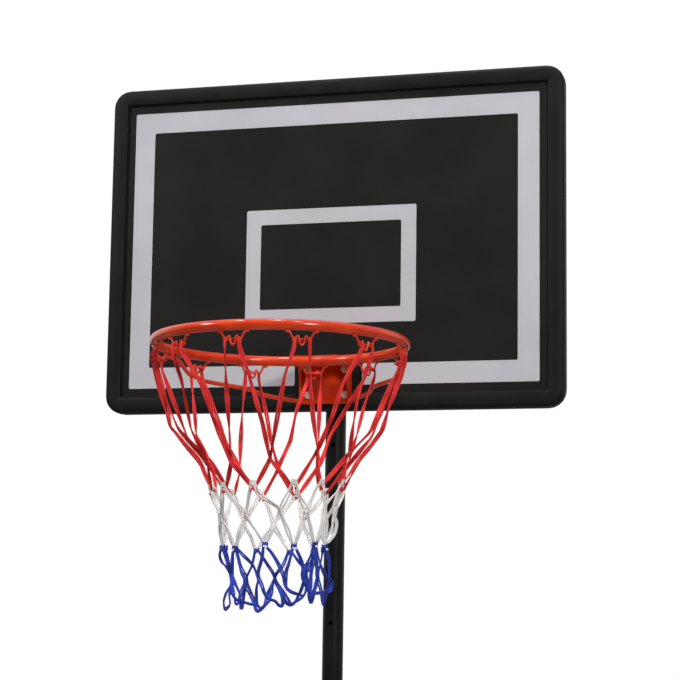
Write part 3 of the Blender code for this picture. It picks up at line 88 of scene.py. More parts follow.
# Printed bands, measured from the middle of the board's printed face
FACE_MIDDLE = Vector((0.0, -0.054, 2.267))
PRINT_THICKNESS = 0.00012
BORDER_HALF_WIDTH = 0.358
BORDER_TOP = 0.2440
BORDER_FOOT = -0.2447
BORDER_BAND = 0.036
BORDER_GAP_HALF = 0.059
TARGET_HALF_WIDTH = 0.1495
TARGET_TOP = 0.061
TARGET_FOOT = -0.139
TARGET_BAND = 0.026
PRINT_CORNER = 0.0030
PRINT_CORNER_STEPS = 5

# Ring, braces and hooks
RING_CENTRE = Vector((0.0, -0.339, 2.050))
RING_RADIUS = 0.1925
RING_TUBE = 0.008
RING_SIDES = 28
RING_STEPS = 160
BRACE_WIRE = 0.0035
BRACE_SIDES = 14
# The brace's way as (degrees from the front, drop, radius), and its bracket end from the ring's centre
BRACE_AT_RING = ((97.0, 0.0118, 0.1925), (103.0, 0.0118, 0.1925), (107.0, 0.0153, 0.1920), (114.0, 0.0320, 0.1920),
                 (120.0, 0.0365, 0.1920), (127.0, 0.0398, 0.1990), (142.0, 0.0440, 0.1990), (149.5, 0.0468, 0.2060))
BRACE_AT_BRACKET = ((0.0900, 0.2070, -0.0520), (0.0620, 0.2400, -0.0560), (0.0510, 0.2516, -0.0568),
                    (0.0472, 0.2596, -0.0568), (0.0468, 0.2741, -0.0568))
BRACE_SMOOTHING = 6
HOOK_WIRE = 0.0016
HOOK_SIDES = 12
HOOK_SMOOTHING = 4
# Where each hook is welded, in degrees round the ring from its front
HOOK_ANGLES = (-4.0, 26.0, 57.0, 89.0, 120.0, 149.0, 180.0, 210.0, 240.0, 271.0, 298.0, 326.0)
HOOKS = len(HOOK_ANGLES)
HOOK_WELD_ALONG = 0.0205
HOOK_WELD = (0.0046, 0.0026, 0.0020)
HOOK_WELD_DROP = RING_TUBE + 0.0004
# Two weld beads where the bracket's tongue meets the tube, as (drop, radius), and how far they reach to each side
TONGUE_WELDS = ((-0.0040, RING_RADIUS + 0.0074), (-0.0090, RING_RADIUS + 0.0050))
WELD_REACH = 11.5
WELD_STEP = 0.25
WELD_BEAD = 0.0014
WELD_RIPPLE = 0.18
WELD_SIDES = 10
# Half of a hook's W as (along the ring, drop below its plane), from the welded foot to the middle tip
HOOK_HALF = ((0.0240, 0.0098), (0.0192, 0.0099), (0.0170, 0.0122), (0.0134, 0.0194), (0.0124, 0.0216),
             (0.0108, 0.0225), (0.0092, 0.0214), (0.0078, 0.0188), (0.0062, 0.0160), (0.0050, 0.0178),
             (0.0036, 0.0250), (0.0018, 0.0280))
HOOK_TIP = (0.0, 0.0288)
# A cord's way over one side of a hook as (along the ring, drop, out from the tube's middle): up outside the wire,
# through the valley and in behind the middle, and its highest point between the two sides
HOOK_LOOP = ((0.0114, 0.0330, 0.0028), (0.0112, 0.0222, 0.0040), (0.0110, 0.0192, 0.0016),
             (0.0108, 0.0192, -0.0022), (0.0072, 0.0204, -0.0050))
LOOP_TOP = (0.0206, -0.0054)

# Net's outline as (drop below the ring's plane, radius)
NET_OUTLINE = ((0.0225, 0.1950), (0.070, 0.1765), (0.131, 0.1600), (0.183, 0.1200), (0.220, 0.1030),
               (0.264, 0.0870), (0.309, 0.0820), (0.355, 0.0790), (0.415, 0.0830))
# Where each red leg bends, as (degrees past its hook, drop): the left leg and then the right leg of each hook
LEG_BENDS = ((((-5.6, 0.078), (-6.5, 0.127)), ((6.2, 0.071), (12.1, 0.141))),
             (((-6.8, 0.071), (-11.3, 0.148)), ((6.2, 0.091), (8.6, 0.127))),
             (((-8.3, 0.078), (-12.0, 0.128)), ((1.8, 0.100), (4.6, 0.142))),
             (((-4.0, 0.080), (-8.0, 0.140)), ((4.0, 0.095), (6.0, 0.133))),
             (((-6.0, 0.090), (-9.0, 0.142)), ((5.0, 0.075), (9.0, 0.135))),
             (((-3.5, 0.080), (-2.5, 0.125)), ((9.0, 0.080), (17.0, 0.126))),
             (((-5.6, 0.091), (-6.6, 0.130)), ((7.5, 0.086), (9.7, 0.134))),
             (((-6.8, 0.095), (-8.9, 0.135)), ((7.2, 0.093), (9.3, 0.135))),
             (((-6.7, 0.097), (-10.0, 0.137)), ((7.6, 0.096), (11.0, 0.134))),
             (((-6.0, 0.085), (-9.0, 0.140)), ((5.0, 0.090), (8.0, 0.128))),
             (((-9.0, 0.085), (-12.0, 0.132)), ((6.0, 0.090), (10.0, 0.140))),
             (((-5.0, 0.071), (-8.0, 0.143)), ((10.0, 0.082), (14.3, 0.126))))
# How far the legs of the left side's hooks stand out past the outline
LEG_BULGES = {9: 0.004, 10: 0.007}
# The net's junctions as (degrees from the front, drop): knots hang under the hooks, crossings lie past each knot
RED_CROSSINGS = ((11.1, 0.185), (43.5, 0.176), (73.0, 0.178), (104.5, 0.182), (134.5, 0.180), (165.6, 0.178),
                 (196.5, 0.181), (227.0, 0.187), (254.5, 0.184), (284.0, 0.182), (311.5, 0.184), (340.5, 0.187))
RED_KNOTS = ((-4.0, 0.2215), (30.2, 0.2195), (55.0, 0.2175), (82.0, 0.2150), (119.0, 0.2190), (150.0, 0.2200),
             (180.0, 0.2210), (211.0, 0.2220), (241.0, 0.2230), (268.0, 0.2225), (291.0, 0.2234), (325.2, 0.2230))
WHITE_CROSSINGS = ((19.5, 0.262), (46.5, 0.263), (68.0, 0.254), (100.0, 0.262), (137.0, 0.267), (168.5, 0.269),
                   (200.0, 0.274), (233.0, 0.276), (262.0, 0.274), (281.0, 0.270), (302.0, 0.266), (344.5, 0.265))
WHITE_KNOTS = ((5.0, 0.309), (35.0, 0.311), (60.5, 0.307), (78.0, 0.310), (134.0, 0.312), (152.0, 0.313),
               (182.0, 0.314), (219.0, 0.313), (247.0, 0.313), (270.0, 0.312), (290.0, 0.312), (328.0, 0.314))
BLUE_CROSSINGS = ((19.0, 0.342), (46.5, 0.347), (74.0, 0.350), (108.0, 0.352), (143.0, 0.348), (161.0, 0.346),
                  (198.0, 0.356), (232.0, 0.361), (257.0, 0.364), (280.0, 0.355), (316.0, 0.350), (343.0, 0.349))
BLUE_TIPS = ((-3.0, 0.398), (26.0, 0.401), (56.0, 0.395), (88.0, 0.391), (134.0, 0.396), (152.0, 0.391),
             (177.0, 0.396), (211.0, 0.404), (244.0, 0.398), (268.0, 0.399), (312.0, 0.408), (339.0, 0.408))
# Which back knots start a loop of blue cord, and the tangled front cords as (degrees, drop[, stands out by])
BLUE_LOOPS = (3, 4, 5, 6, 7)
BLUE_FRONT = (
    ((-72, 0.314, 0.001), (-72, 0.325, 0.005), (-72, 0.335, 0.002), (-51, 0.343), (-41, 0.352),
     (-36, 0.363), (-30, 0.372), (-25, 0.380), (-23, 0.389), (-23, 0.398), (-21, 0.408), (-19, 0.398),
     (-18, 0.386), (-17, 0.375), (-19, 0.363), (-21, 0.354)),
    ((-68, 0.314), (-55, 0.322), (-48, 0.334), (-42, 0.351), (-39, 0.361), (-39, 0.373), (-50, 0.380),
     (-54, 0.394), (-49, 0.408), (-37, 0.399), (-41, 0.383), (-40, 0.375)),
    ((-34, 0.314), (-38, 0.329), (-39, 0.345), (-38, 0.358), (-35, 0.369), (-38, 0.378), (-31, 0.391),
     (-22, 0.394), (-10, 0.398), (-4, 0.398)),
    ((-31, 0.314), (-29, 0.330), (-26, 0.342), (-23, 0.353), (-19, 0.361), (-17, 0.373), (-11, 0.383),
     (-7, 0.392), (-5, 0.399), (-4, 0.407), (0, 0.408), (4, 0.402), (10, 0.393)),
    ((-29, 0.316), (-21, 0.326), (-12, 0.336), (-7, 0.345), (-4, 0.355), (-2, 0.363), (-4, 0.373),
     (-3, 0.388), (-2, 0.398)),
    ((3, 0.312), (3, 0.326), (1, 0.338), (-2, 0.350), (-3, 0.358), (1, 0.369), (6, 0.383), (10, 0.392),
     (16, 0.393), (20, 0.398), (23, 0.402), (25, 0.397), (24, 0.387), (21, 0.376), (17, 0.368),
     (15, 0.363)),
    ((5, 0.312), (11, 0.320), (17, 0.333), (20, 0.343), (23, 0.351), (26, 0.358), (27, 0.371), (31, 0.379),
     (39, 0.383), (45, 0.385)),
    ((15, 0.360), (12, 0.371), (12, 0.383), (10, 0.392)),
    ((17, 0.368), (22, 0.377), (25, 0.391), (29, 0.397), (34, 0.399), (36, 0.394), (43, 0.391),
     (49, 0.384), (52, 0.373), (49, 0.366), (47, 0.359)),
    ((34, 0.315), (32, 0.327), (30, 0.339), (27, 0.349), (27, 0.359), (28, 0.371)),
    ((37, 0.315), (40, 0.322), (45, 0.334), (47, 0.346), (46, 0.356), (48, 0.365), (53, 0.373),
     (54, 0.381)),
    ((60, 0.311), (57, 0.323), (51, 0.337), (47, 0.346), (46, 0.354)),
    ((60, 0.311), (59, 0.326), (58, 0.341), (56, 0.348), (51, 0.347)),
    ((62, 0.311), (62, 0.329), (66, 0.342), (69, 0.354), (65, 0.368), (60, 0.382), (57, 0.397),
     (55, 0.383), (57, 0.367), (58, 0.352), (61, 0.335)),
    ((63, 0.311), (69, 0.328), (74, 0.343), (89, 0.354), (105, 0.361, 0.004), (105, 0.367, 0.006),
     (105, 0.375, 0.002), (80, 0.379), (65, 0.381), (57, 0.379)),
)
# A stray white loop at the right, as (degrees, drop, stands out by)
WHITE_STRAY = ((81.0, 0.226, 0.001), (80.0, 0.250, 0.002), (86.0, 0.264, 0.004), (90.0, 0.274, 0.009),
               (88.0, 0.292, 0.008), (80.0, 0.306, 0.002), (71.0, 0.298, -0.001), (68.0, 0.278, 0.001),
               (67.0, 0.262, 0.002))
# Cords: sides, distance between stations, how short a corner is cut, how far a pinch reaches, length of a turn
CORD_SIDES = 10
CORD_STEP = 0.0045
CORD_CORNER = 0.0035
CORD_PINCH = 0.018
CORD_TWIST_PITCH = 0.125
# A pinched strand's width and thickness as shares of its free ones, and how close two strands lie
PINCHED_WIDTH, PINCHED_THICKNESS = 0.62, 1.45
STRAND_SPACING = 0.97
PARTING_PACE = 1.7
LEAST_PARTING = 0.2
# Corners are cut twice, the second time by a smaller share, and never past this much of a run
CORNER_CUTS = (1.0, 0.4)
CORNER_LIMIT = 0.3
# Doubled cords as (half width, half thickness, turns over by, parts by)
RED_CORDS = (0.0018, 0.0012, 0.8, 0.0002)
WHITE_CORDS = (0.0017, 0.0012, 0.5, 0.0016)
STRAY_CORDS = (0.0015, 0.0013, 0.3, 0.0004)
BLUE_BACK_CORDS = (0.0014, 0.0012, 0.8, 0.0003)
BLUE_FRONT_CORDS = (0.0015, 0.0014, 0.8, 0.0003)
# Crossings as (degrees to each side, drop to each side, how far in and out)
RED_PASSING = (0.6, 0.0045, 0.0013)
WHITE_PASSING = (0.8, 0.0045, 0.0015)
BLUE_PASSING = (0.7, 0.005, 0.0014)
# Where cords leave and reach a knot, as (degrees to its side, drop past it, stands out by)
RED_END = (-2.4, 0.004)
WHITE_START = (1.0, -0.004, 0.0012)
WHITE_HANG = (3.6, 0.014, 0.002)
WHITE_END = (-1.6, -0.001)
BLUE_END = (1.5, 0.0)
# Slack between them: how far a cord's bends stand out, and stray at random
RED_BENDS_OUT = (-0.001, 0.003)
WHITE_HANG_STRAY = 0.0016
WHITE_BELLY_OUT, WHITE_BELLY_STRAY = 0.003, 0.0026
BLUE_KNEE_OUT, BLUE_KNEE_STRAY = 0.002, 0.0030
BLUE_BELLY_OUT, BLUE_BELLY_STRAY = 0.003, 0.0045
BLUE_TIP_SAG = 0.004
BLUE_TIP_TURN = (1.0, 3.2)
BLUE_TIP_OUT = (-0.002, 0.003)
BLUE_FRONT_STRAY = 0.0010
# Cut ends below a knot as (shortest, longest, strand), and wound knots as (radius, turns, height, strand)
RED_ENDS = (0.007, 0.0125, 0.0014)
WHITE_ENDS = (0.002, 0.0065, 0.0013)
WHITE_WINDING = (0.0032, 2.3, 0.0052, 0.0012)
BLUE_WINDING = (0.0035, 2.6, 0.0060, 0.0012)
WINDING_DROP = 0.001
WINDING_STEPS = 14
WINDING_FLATNESS = 1.25
# Cut ends: degrees that they lean, how far out they go, the last one's further lean, and how their lengths vary
ENDS_LEAN = (0.3, 1.4)
ENDS_OUT = (0.0020, 0.0042, 0.0050)
ENDS_TURN = 0.5
ENDS_VARY = (0.8, 1.15)

# Angles between faces, in degrees, past which an edge shows
CREASE = 35.0
EASED_CREASE = 40.0
CORD_CREASE = 60.0
# Vertices nearer than this are one. A coordinate near 2 m is only good to a quarter of it
SAME_PLACE = 1e-6


# Meshes

def around(angle, drop, radius, along=0.0):
    """A point near the ring: an angle from the front, a drop below its plane, a way along it."""
    outward = Vector((math.sin(angle), -math.cos(angle), 0.0))
    tangent = Vector((math.cos(angle), math.sin(angle), 0.0))
    return RING_CENTRE + outward * radius + tangent * along - UP * drop


def smooth_path(points, steps):
    """A smooth curve through points of any number of coordinates."""
    path = []
    for i in range(len(points) - 1):
        p0 = points[max(i - 1, 0)]
        p1 = points[i]
        p2 = points[i + 1]
        p3 = points[min(i + 2, len(points) - 1)]
        for step in range(steps):
            t = step / steps
            path.append(p1 + (p2 - p0) * (t / 2) + (p0 * 2 - p1 * 5 + p2 * 4 - p3) * (t * t / 2)
                        + (p1 * 3 - p0 - p2 * 3 + p3) * (t * t * t / 2))
    path.append(points[-1])
    return path


def carried_frames(points, side):
    """Tangent, side and normal at each point of a path, turned no more than the path itself turns."""
    frames = []
    for i in range(len(points)):
        before = points[max(i - 1, 0)]
        after = points[min(i + 1, len(points) - 1)]
        tangent = (after - before).normalized()
        if frames:
            side = frames[-1][0].rotation_difference(tangent) @ side
        side = (side - tangent * side.dot(tangent)).normalized()
        frames.append((tangent, side, tangent.cross(side)))
    return frames


def rolled_bar(stations, sides):
    """A bar rolled from a flat grid: each station is (place, across, up). Its UV map runs round it and along it."""
    bar = bmesh.new()
    layer = bar.loops.layers.uv.new("UVMap")
    last = len(stations) - 1
    bmesh.ops.create_grid(bar, x_segments=last, y_segments=sides, size=0.5, calc_uvs=True)
    length = sum((b[0] - a[0]).length for a, b in zip(stations, stations[1:]))
    for face in bar.faces:
        for loop in face.loops:
            loop[layer].uv.x *= length
    for vert in bar.verts:
        place, across, up = stations[round((vert.co.x + 0.5) * last)]
        angle = math.tau * (vert.co.y + 0.5)
        vert.co = place + across * math.cos(angle) + up * math.sin(angle)
    bmesh.ops.remove_doubles(bar, verts=bar.verts, dist=SAME_PLACE)
    bmesh.ops.holes_fill(bar, edges=[edge for edge in bar.edges if edge.is_boundary], sides=0)
    bmesh.ops.recalc_face_normals(bar, faces=bar.faces)
    return bar


def add_to(whole, part):
    """Puts one bmesh into another."""
    mesh = bpy.data.meshes.new("part")
    part.to_mesh(mesh)
    part.free()
    whole.from_mesh(mesh)
    bpy.data.meshes.remove(mesh)


def wire(whole, points, radius, side, sides):
    """A round wire along a path."""
    stations = []
    for point, (_, across, up) in zip(points, carried_frames(points, side)):
        stations.append((point, across * radius, up * radius))
    add_to(whole, rolled_bar(stations, sides))


def finish_piece(name, whole, material, body, nodes=(), crease=CREASE):
    """An object from a bmesh, on its body, in place of its nodes. Normals carried over from a node are dropped."""
    mesh = bpy.data.meshes.new(name)
    whole.to_mesh(mesh)
    whole.free()
    if mesh.has_custom_normals:
        mesh.attributes.remove(mesh.attributes["custom_normal"])
    mesh.shade_smooth()
    mesh.set_sharp_from_angle(angle=math.radians(crease))
    mesh.materials.append(material)
    piece = bpy.data.objects.new(name, mesh)
    bpy.context.scene.collection.objects.link(piece)
    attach(piece, body)
    if nodes:
        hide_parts(*nodes)
    return piece


# Materials

IOR = 1.50
SATIN = 0.12
# How far apart patches and grains are, and how deep the grains, in metres. Roughness goes from smoothest to roughest
RUBBED_PATCHES = 0.070
RUBBED_SHARE = 0.7
PLASTIC_ROUGHNESS = (0.48, 0.62)
LEATHER_GRAIN, LEATHER_DEPTH = 0.0012, 0.00010
HANDLED_PATCHES = 0.110
INK_ROUGHNESS = (0.42, 0.54)
INK_GRAIN, INK_DEPTH = 0.0020, 0.00003
COAT_PATCHES = 0.050
PEEL_GRAIN, PEEL_DEPTH = 0.0022, 0.00006
ZINC_PATCHES = 0.0040
ZINC_ROUGHNESS = (0.58, 0.74)
ZINC_GRAIN, ZINC_DEPTH = 0.0009, 0.00004
DYE_PATCHES = 0.030
# Braid: yarns across a strand, the length of one crossing, how proud a yarn stands, its painted shade from valley to
# crown (dark in the valleys, light along the crowns), how uneven the dye is, and the wave texture's scale at which one
# band on the bias fills one crossing
YARNS = 5.0
YARN_PITCH = 0.0024
YARN_DEPTH = 0.00018
VALLEY_SHADE_TONES = (0.15, 0.85)
DYE_UNEVEN = 0.42
BIAS_SCALE = 0.45


def linear(colour):
    """An sRGB hex colour as linear light."""
    shares = [int(colour[i:i + 2], 16) / 255 for i in (1, 3, 5)]
    return tuple(s / 12.92 if s <= 0.04045 else ((s + 0.055) / 1.055) ** 2.4 for s in shares) + (1.0,)


def add(material, kind, inputs=None, **settings):
    """Adds a node. Settings are its properties; inputs are values, or the sockets that feed it."""
    made = material.node_tree.nodes.new(kind)
    for name, value in settings.items():
        setattr(made, name, value)
    for key, value in (inputs or {}).items():
        if isinstance(value, bpy.types.NodeSocket):
            material.node_tree.links.new(value, made.inputs[key])
        else:
            made.inputs[key].default_value = value
    return made


def started(name, **sockets):
    """A material with its shader's plain values set."""
    material = bpy.data.materials.new(name)
    material.use_nodes = True
    shader = material.node_tree.nodes["Principled BSDF"]
    for key, value in sockets.items():
        shader.inputs[key.replace("_", " ")].default_value = value
    return material, shader


def feed(material, shader, **sockets):
    """Links sockets to the shader's inputs."""
    for key, value in sockets.items():
        material.node_tree.links.new(value, shader.inputs[key.replace("_", " ")])


def grain(material, spacing, detail=2.0):
    """Noise whose grains are one spacing apart, in metres, on the object's own coordinates."""
    place = add(material, "ShaderNodeTexCoord").outputs["Object"]
    return add(material, "ShaderNodeTexNoise", {"Vector": place, "Scale": 1 / spacing,
                                                "Detail": detail}).outputs["Fac"]


def spread(material, source, low, high, start=0.35, end=0.65):
    """A value stretched from a noise's middle range to low and high."""
    return add(material, "ShaderNodeMapRange", {"Value": source, "From Min": start, "From Max": end, "To Min": low,
                                                "To Max": high}).outputs["Result"]


def blended(material, share, first, second):
    """A colour between two hex colours."""
    mix = add(material, "ShaderNodeMix", {"Factor": share}, data_type="RGBA")
    mix.inputs["A"].default_value = linear(first)
    mix.inputs["B"].default_value = linear(second)
    return mix.outputs["Result"]


def raised(material, height, depth):
    """Bump normals from a height, its depth in metres."""
    return add(material, "ShaderNodeBump", {"Height": height, "Distance": depth, "Strength": 1.0}).outputs["Normal"]


def moulded_plastic(name, dark, pale):
    """Moulded black plastic: matt with a fine leathery grain, faintly greyed where it is rubbed."""
    material, shader = started(name, Specular_IOR_Level=SATIN, IOR=IOR)
    rubbed = grain(material, RUBBED_PATCHES, detail=4.0)
    skin = grain(material, LEATHER_GRAIN)
    feed(material, shader, Base_Color=blended(material, spread(material, rubbed, 0.0, RUBBED_SHARE), dark, pale),
         Roughness=spread(material, rubbed, *PLASTIC_ROUGHNESS), Normal=raised(material, skin, LEATHER_DEPTH))
    return material


def printed_sheet(name, dark, pale):
    """Screen ink on a smooth plastic sheet: flat and even, with a satin sheen and a trace of handling."""
    material, shader = started(name, Specular_IOR_Level=SATIN, IOR=IOR)
    handled = grain(material, HANDLED_PATCHES, detail=3.0)
    feed(material, shader, Base_Color=blended(material, spread(material, handled, 0.0, 1.0), dark, pale),
         Roughness=spread(material, handled, *INK_ROUGHNESS),
         Normal=raised(material, grain(material, INK_GRAIN), INK_DEPTH))
    return material


def powder_coat(name, dark, pale, roughness, coat):
    """Baked powder on steel: an even colour with the fine ripple of orange peel, and a gloss where it is coated."""
    material, shader = started(name, IOR=IOR, Specular_IOR_Level=SATIN, Coat_Weight=coat, Coat_Roughness=0.05)
    cloud = grain(material, COAT_PATCHES, detail=3.0)
    feed(material, shader, Base_Color=blended(material, spread(material, cloud, 0.0, 1.0), dark, pale),
         Roughness=spread(material, cloud, *roughness),
         Normal=raised(material, grain(material, PEEL_GRAIN), PEEL_DEPTH))
    return material


def zinc_plate():
    """Zinc plate with a yellowish passivation: a soft metal sheen that varies from spot to spot."""
    material, shader = started("zinc_plated_steel", Metallic=1.0)
    cloud = grain(material, ZINC_PATCHES, detail=3.0)
    feed(material, shader, Base_Color=blended(material, spread(material, cloud, 0.0, 1.0), "#E4DCC6", "#FBF5E2"),
         Roughness=spread(material, cloud, *ZINC_ROUGHNESS),
         Normal=raised(material, grain(material, ZINC_GRAIN), ZINC_DEPTH))
    return material


def braided_cord(name, dark, pale):
    """Flat braided polyester cord: yarns cross on the bias, with shade painted dark in the valleys and a painted
    highlight along their crowns. The dye takes unevenly along a cord's length. The yarns are drawn a little coarser
    than the real
    0.3 mm to show."""
    material, shader = started(name, Specular_IOR_Level=0.15, Roughness=0.75)
    place = add(material, "ShaderNodeUVMap", uv_map="UVMap").outputs["UV"]
    flat = add(material, "ShaderNodeVectorMath", {0: place, 1: (1 / YARN_PITCH, YARNS, 1.0)}, operation="MULTIPLY")
    crowns = []
    for turn in (45.0, -45.0):
        bias = add(material, "ShaderNodeMapping", {"Vector": flat.outputs["Vector"],
                                                   "Rotation": (0.0, 0.0, math.radians(turn))})
        crowns.append(add(material, "ShaderNodeTexWave", {"Vector": bias.outputs["Vector"],
                                                          "Scale": BIAS_SCALE}).outputs["Fac"])
    weave = add(material, "ShaderNodeMath", {0: crowns[0], 1: crowns[1]}, operation="MAXIMUM").outputs["Value"]
    dye = spread(material, grain(material, DYE_PATCHES, detail=1.0), -DYE_UNEVEN, DYE_UNEVEN, start=0.3, end=0.7)
    # Painted shade and highlight: the weave darkens the colour in its valleys and lightens it along its crowns
    painted_valley_shade = spread(material, weave, *VALLEY_SHADE_TONES, start=0.1, end=0.9)
    shade_and_dye = add(material, "ShaderNodeMath", {0: painted_valley_shade, 1: dye}, operation="ADD", use_clamp=True)
    feed(material, shader, Base_Color=blended(material, shade_and_dye.outputs["Value"], dark, pale),
         Normal=raised(material, weave, YARN_DEPTH))
    return material


BOARD_PLASTIC = moulded_plastic("black_board_polyethylene", "#131312", "#1B1B1A")
TANK_PLASTIC = moulded_plastic("black_tank_polyethylene", "#1A1A1A", "#202020")
FITTING_PLASTIC = moulded_plastic("black_nylon_fittings", "#171717", "#212120")
WHEEL_PLASTIC = moulded_plastic("black_wheel_polypropylene", "#1B1B1C", "#282829")
BLACK_INK = printed_sheet("black_ink_on_sheet", "#181817", "#1C1B1A")
WHITE_INK = printed_sheet("white_ink_on_sheet", "#B2B1B5", "#B9B8BC")
BLACK_STEEL = powder_coat("black_powder_coated_steel", "#131314", "#181819", roughness=(0.38, 0.47), coat=0.0)
ORANGE_STEEL = powder_coat("orange_powder_coated_steel", "#C62B06", "#DA3F0B", roughness=(0.30, 0.39), coat=0.6)
ZINC = zinc_plate()
RED_CORD = braided_cord("red_braided_cord", "#A61413", "#F54240")
WHITE_CORD = braided_cord("white_braided_cord", "#D0CBC7", "#FBF9F6")
BLUE_CORD = braided_cord("blue_braided_cord", "#0C1040", "#4256D2")

# Pieces that keep their node's own form: (node, finish, body, slot, radius that softens the edges)
EASED = {
    "rim_bracket_folded": ("rim_bracket", ORANGE_STEEL, "mast", "orange_steel", 0.0010),
    "board_shell_moulding": ("board_shell", BOARD_PLASTIC, "mast", "moulded_black", 0.0),
    "upper_mast_tube": ("mast_upper", BLACK_STEEL, "mast", "black_steel", 0.0003),
    "rear_bracket_upper_pressed": ("rear_bracket_upper", BLACK_STEEL, "mast", "black_steel", 0.0008),
    "rear_bracket_lower_pressed": ("rear_bracket_lower", BLACK_STEEL, "mast", "black_steel", 0.0008),
    "saddle_upper_moulding": ("mast_saddle_upper", FITTING_PLASTIC, "mast", "moulded_black", 0.0010),
    "saddle_lower_moulding": ("mast_saddle_lower", FITTING_PLASTIC, "mast", "moulded_black", 0.0010),
    "mast_cap_moulding": ("mast_top_cap", FITTING_PLASTIC, "mast", "moulded_black", 0.0008),
    "middle_pole_tube": ("pole_middle", BLACK_STEEL, "base", "black_steel", 0.0003),
    "lower_pole_tube": ("pole_lower", BLACK_STEEL, "base", "black_steel", 0.0003),
    "guide_collar_moulding": ("guide_collar", FITTING_PLASTIC, "base", "moulded_black", 0.0008),
    "lock_knob_moulding": ("lock_knob", FITTING_PLASTIC, "lock_knob", "moulded_black", 0.0006),
    "filler_cap_moulding": ("filler_cap", FITTING_PLASTIC, "filler_cap", "moulded_black", 0.0006),
    "tank_moulding": ("base_tank", TANK_PLASTIC, "base", "moulded_black", 0.0),
    "left_wheel_moulding": ("wheel_left", WHEEL_PLASTIC, "wheel_left", "wheel_plastic", 0.0008),
    "right_wheel_moulding": ("wheel_right", WHEEL_PLASTIC, "wheel_right", "wheel_plastic", 0.0008),
    "left_strut_tube": ("strut_left", BLACK_STEEL, "base", "black_steel", 0.0004),
    "right_strut_tube": ("strut_right", BLACK_STEEL, "base", "black_steel", 0.0004),
}

# Zinc-plated fixings of the mast and of the base
FIXINGS = {
    "mast": ("rim_bolt_upper_left", "rim_bolt_upper_right", "rim_bolt_lower_left", "rim_bolt_lower_right",
             "rim_nut_upper_left", "rim_nut_upper_right", "rim_nut_lower_left", "rim_nut_lower_right",
             "bracket_screw_left", "bracket_screw_right"),
    "base": ("joint_bolt", "joint_nut", "strut_bolt", "strut_nut", "strut_foot_screw_left",
             "strut_foot_screw_right", "axle_cap_left", "axle_cap_right"),
}
FIXING_EDGE = 0.0006
# Edges keener than this are eased, in steps, once faces that lie flatter than FLAT are joined
KEEN = math.radians(30.0)
FLAT = math.radians(0.4)
EASED_STEPS = 2

# Finishes of the nodes that have no eased piece; the rest are zinc plated
OTHER_FINISHES = {"board_face": BLACK_INK, "pole_foot_plug": FITTING_PLASTIC, "mast_glide": FITTING_PLASTIC,
                  "net_red": RED_CORD, "net_white": WHITE_CORD, "net_blue": BLUE_CORD}
ORANGE_PARTS = ("rim_ring", "brace_rod_", "net_hook_")


def dress_nodes():
    """Gives each node of the frame its finish."""
    finishes = {node: finish for node, finish, *_ in EASED.values()} | OTHER_FINISHES
    for name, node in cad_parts.items():
        finish = ORANGE_STEEL if name.startswith(ORANGE_PARTS) else finishes.get(name, ZINC)
        node.data.materials.clear()
        node.data.materials.append(finish)


# Board

def printed_ring(left, right, foot, top, band):
    """A flat ring of ink with rounded corners inside and out, bridged from two rectangles."""
    ring = bmesh.new()
    for inset in (0.0, band):
        corners = bmesh.ops.create_grid(ring, x_segments=1, y_segments=1, size=0.5)["verts"]
        for vert in corners:
            x = left + inset if vert.co.x < 0 else right - inset
            z = foot + inset if vert.co.y < 0 else top - inset
            vert.co = FACE_MIDDLE + Vector((x, 0.0, z))
        bmesh.ops.bevel(ring, geom=corners, offset=PRINT_CORNER, offset_type="OFFSET",
                        segments=PRINT_CORNER_STEPS, profile=0.5, affect="VERTICES", material=-1)
    bmesh.ops.delete(ring, geom=list(ring.faces), context="FACES_ONLY")
    bmesh.ops.bridge_loops(ring, edges=list(ring.edges))
    return ring


def raise_print(ring):
    """Gives flat ink its thickness, towards the front."""
    lifted = bmesh.ops.extrude_face_region(ring, geom=list(ring.faces))["geom"]
    moved = [item for item in lifted if isinstance(item, bmesh.types.BMVert)]
    bmesh.ops.translate(ring, verts=moved, vec=(0.0, -PRINT_THICKNESS, 0.0))
    bmesh.ops.recalc_face_normals(ring, faces=ring.faces)
    return ring


def make_prints():
    """The white border, open at the bottom middle for the pad, and the target rectangle."""
    border = printed_ring(-BORDER_HALF_WIDTH, BORDER_HALF_WIDTH, BORDER_FOOT, BORDER_TOP, BORDER_BAND)
    for x in (-BORDER_GAP_HALF, BORDER_GAP_HALF):
        bmesh.ops.bisect_plane(border, geom=[*border.verts, *border.edges, *border.faces], plane_co=(x, 0.0, 0.0),
                               plane_no=(1.0, 0.0, 0.0))
    gap = [face for face in border.faces if abs(face.calc_center_median().x) < BORDER_GAP_HALF
           and face.calc_center_median().z < FACE_MIDDLE.z + BORDER_FOOT + BORDER_BAND]
    bmesh.ops.delete(border, geom=gap, context="FACES")
    ends = [vert for vert in border.verts if abs(abs(vert.co.x) - BORDER_GAP_HALF) < SAME_PLACE
            and vert.co.z < FACE_MIDDLE.z]
    bmesh.ops.bevel(border, geom=ends, offset=PRINT_CORNER, offset_type="OFFSET",
                    segments=PRINT_CORNER_STEPS, profile=0.5, affect="VERTICES", material=-1)
    finish_piece("white_border_print", raise_print(border), WHITE_INK, "mast")
    target = printed_ring(-TARGET_HALF_WIDTH, TARGET_HALF_WIDTH, TARGET_FOOT, TARGET_TOP, TARGET_BAND)
    finish_piece("target_rectangle_print", raise_print(target), WHITE_INK, "mast")


# Ring, braces and hooks

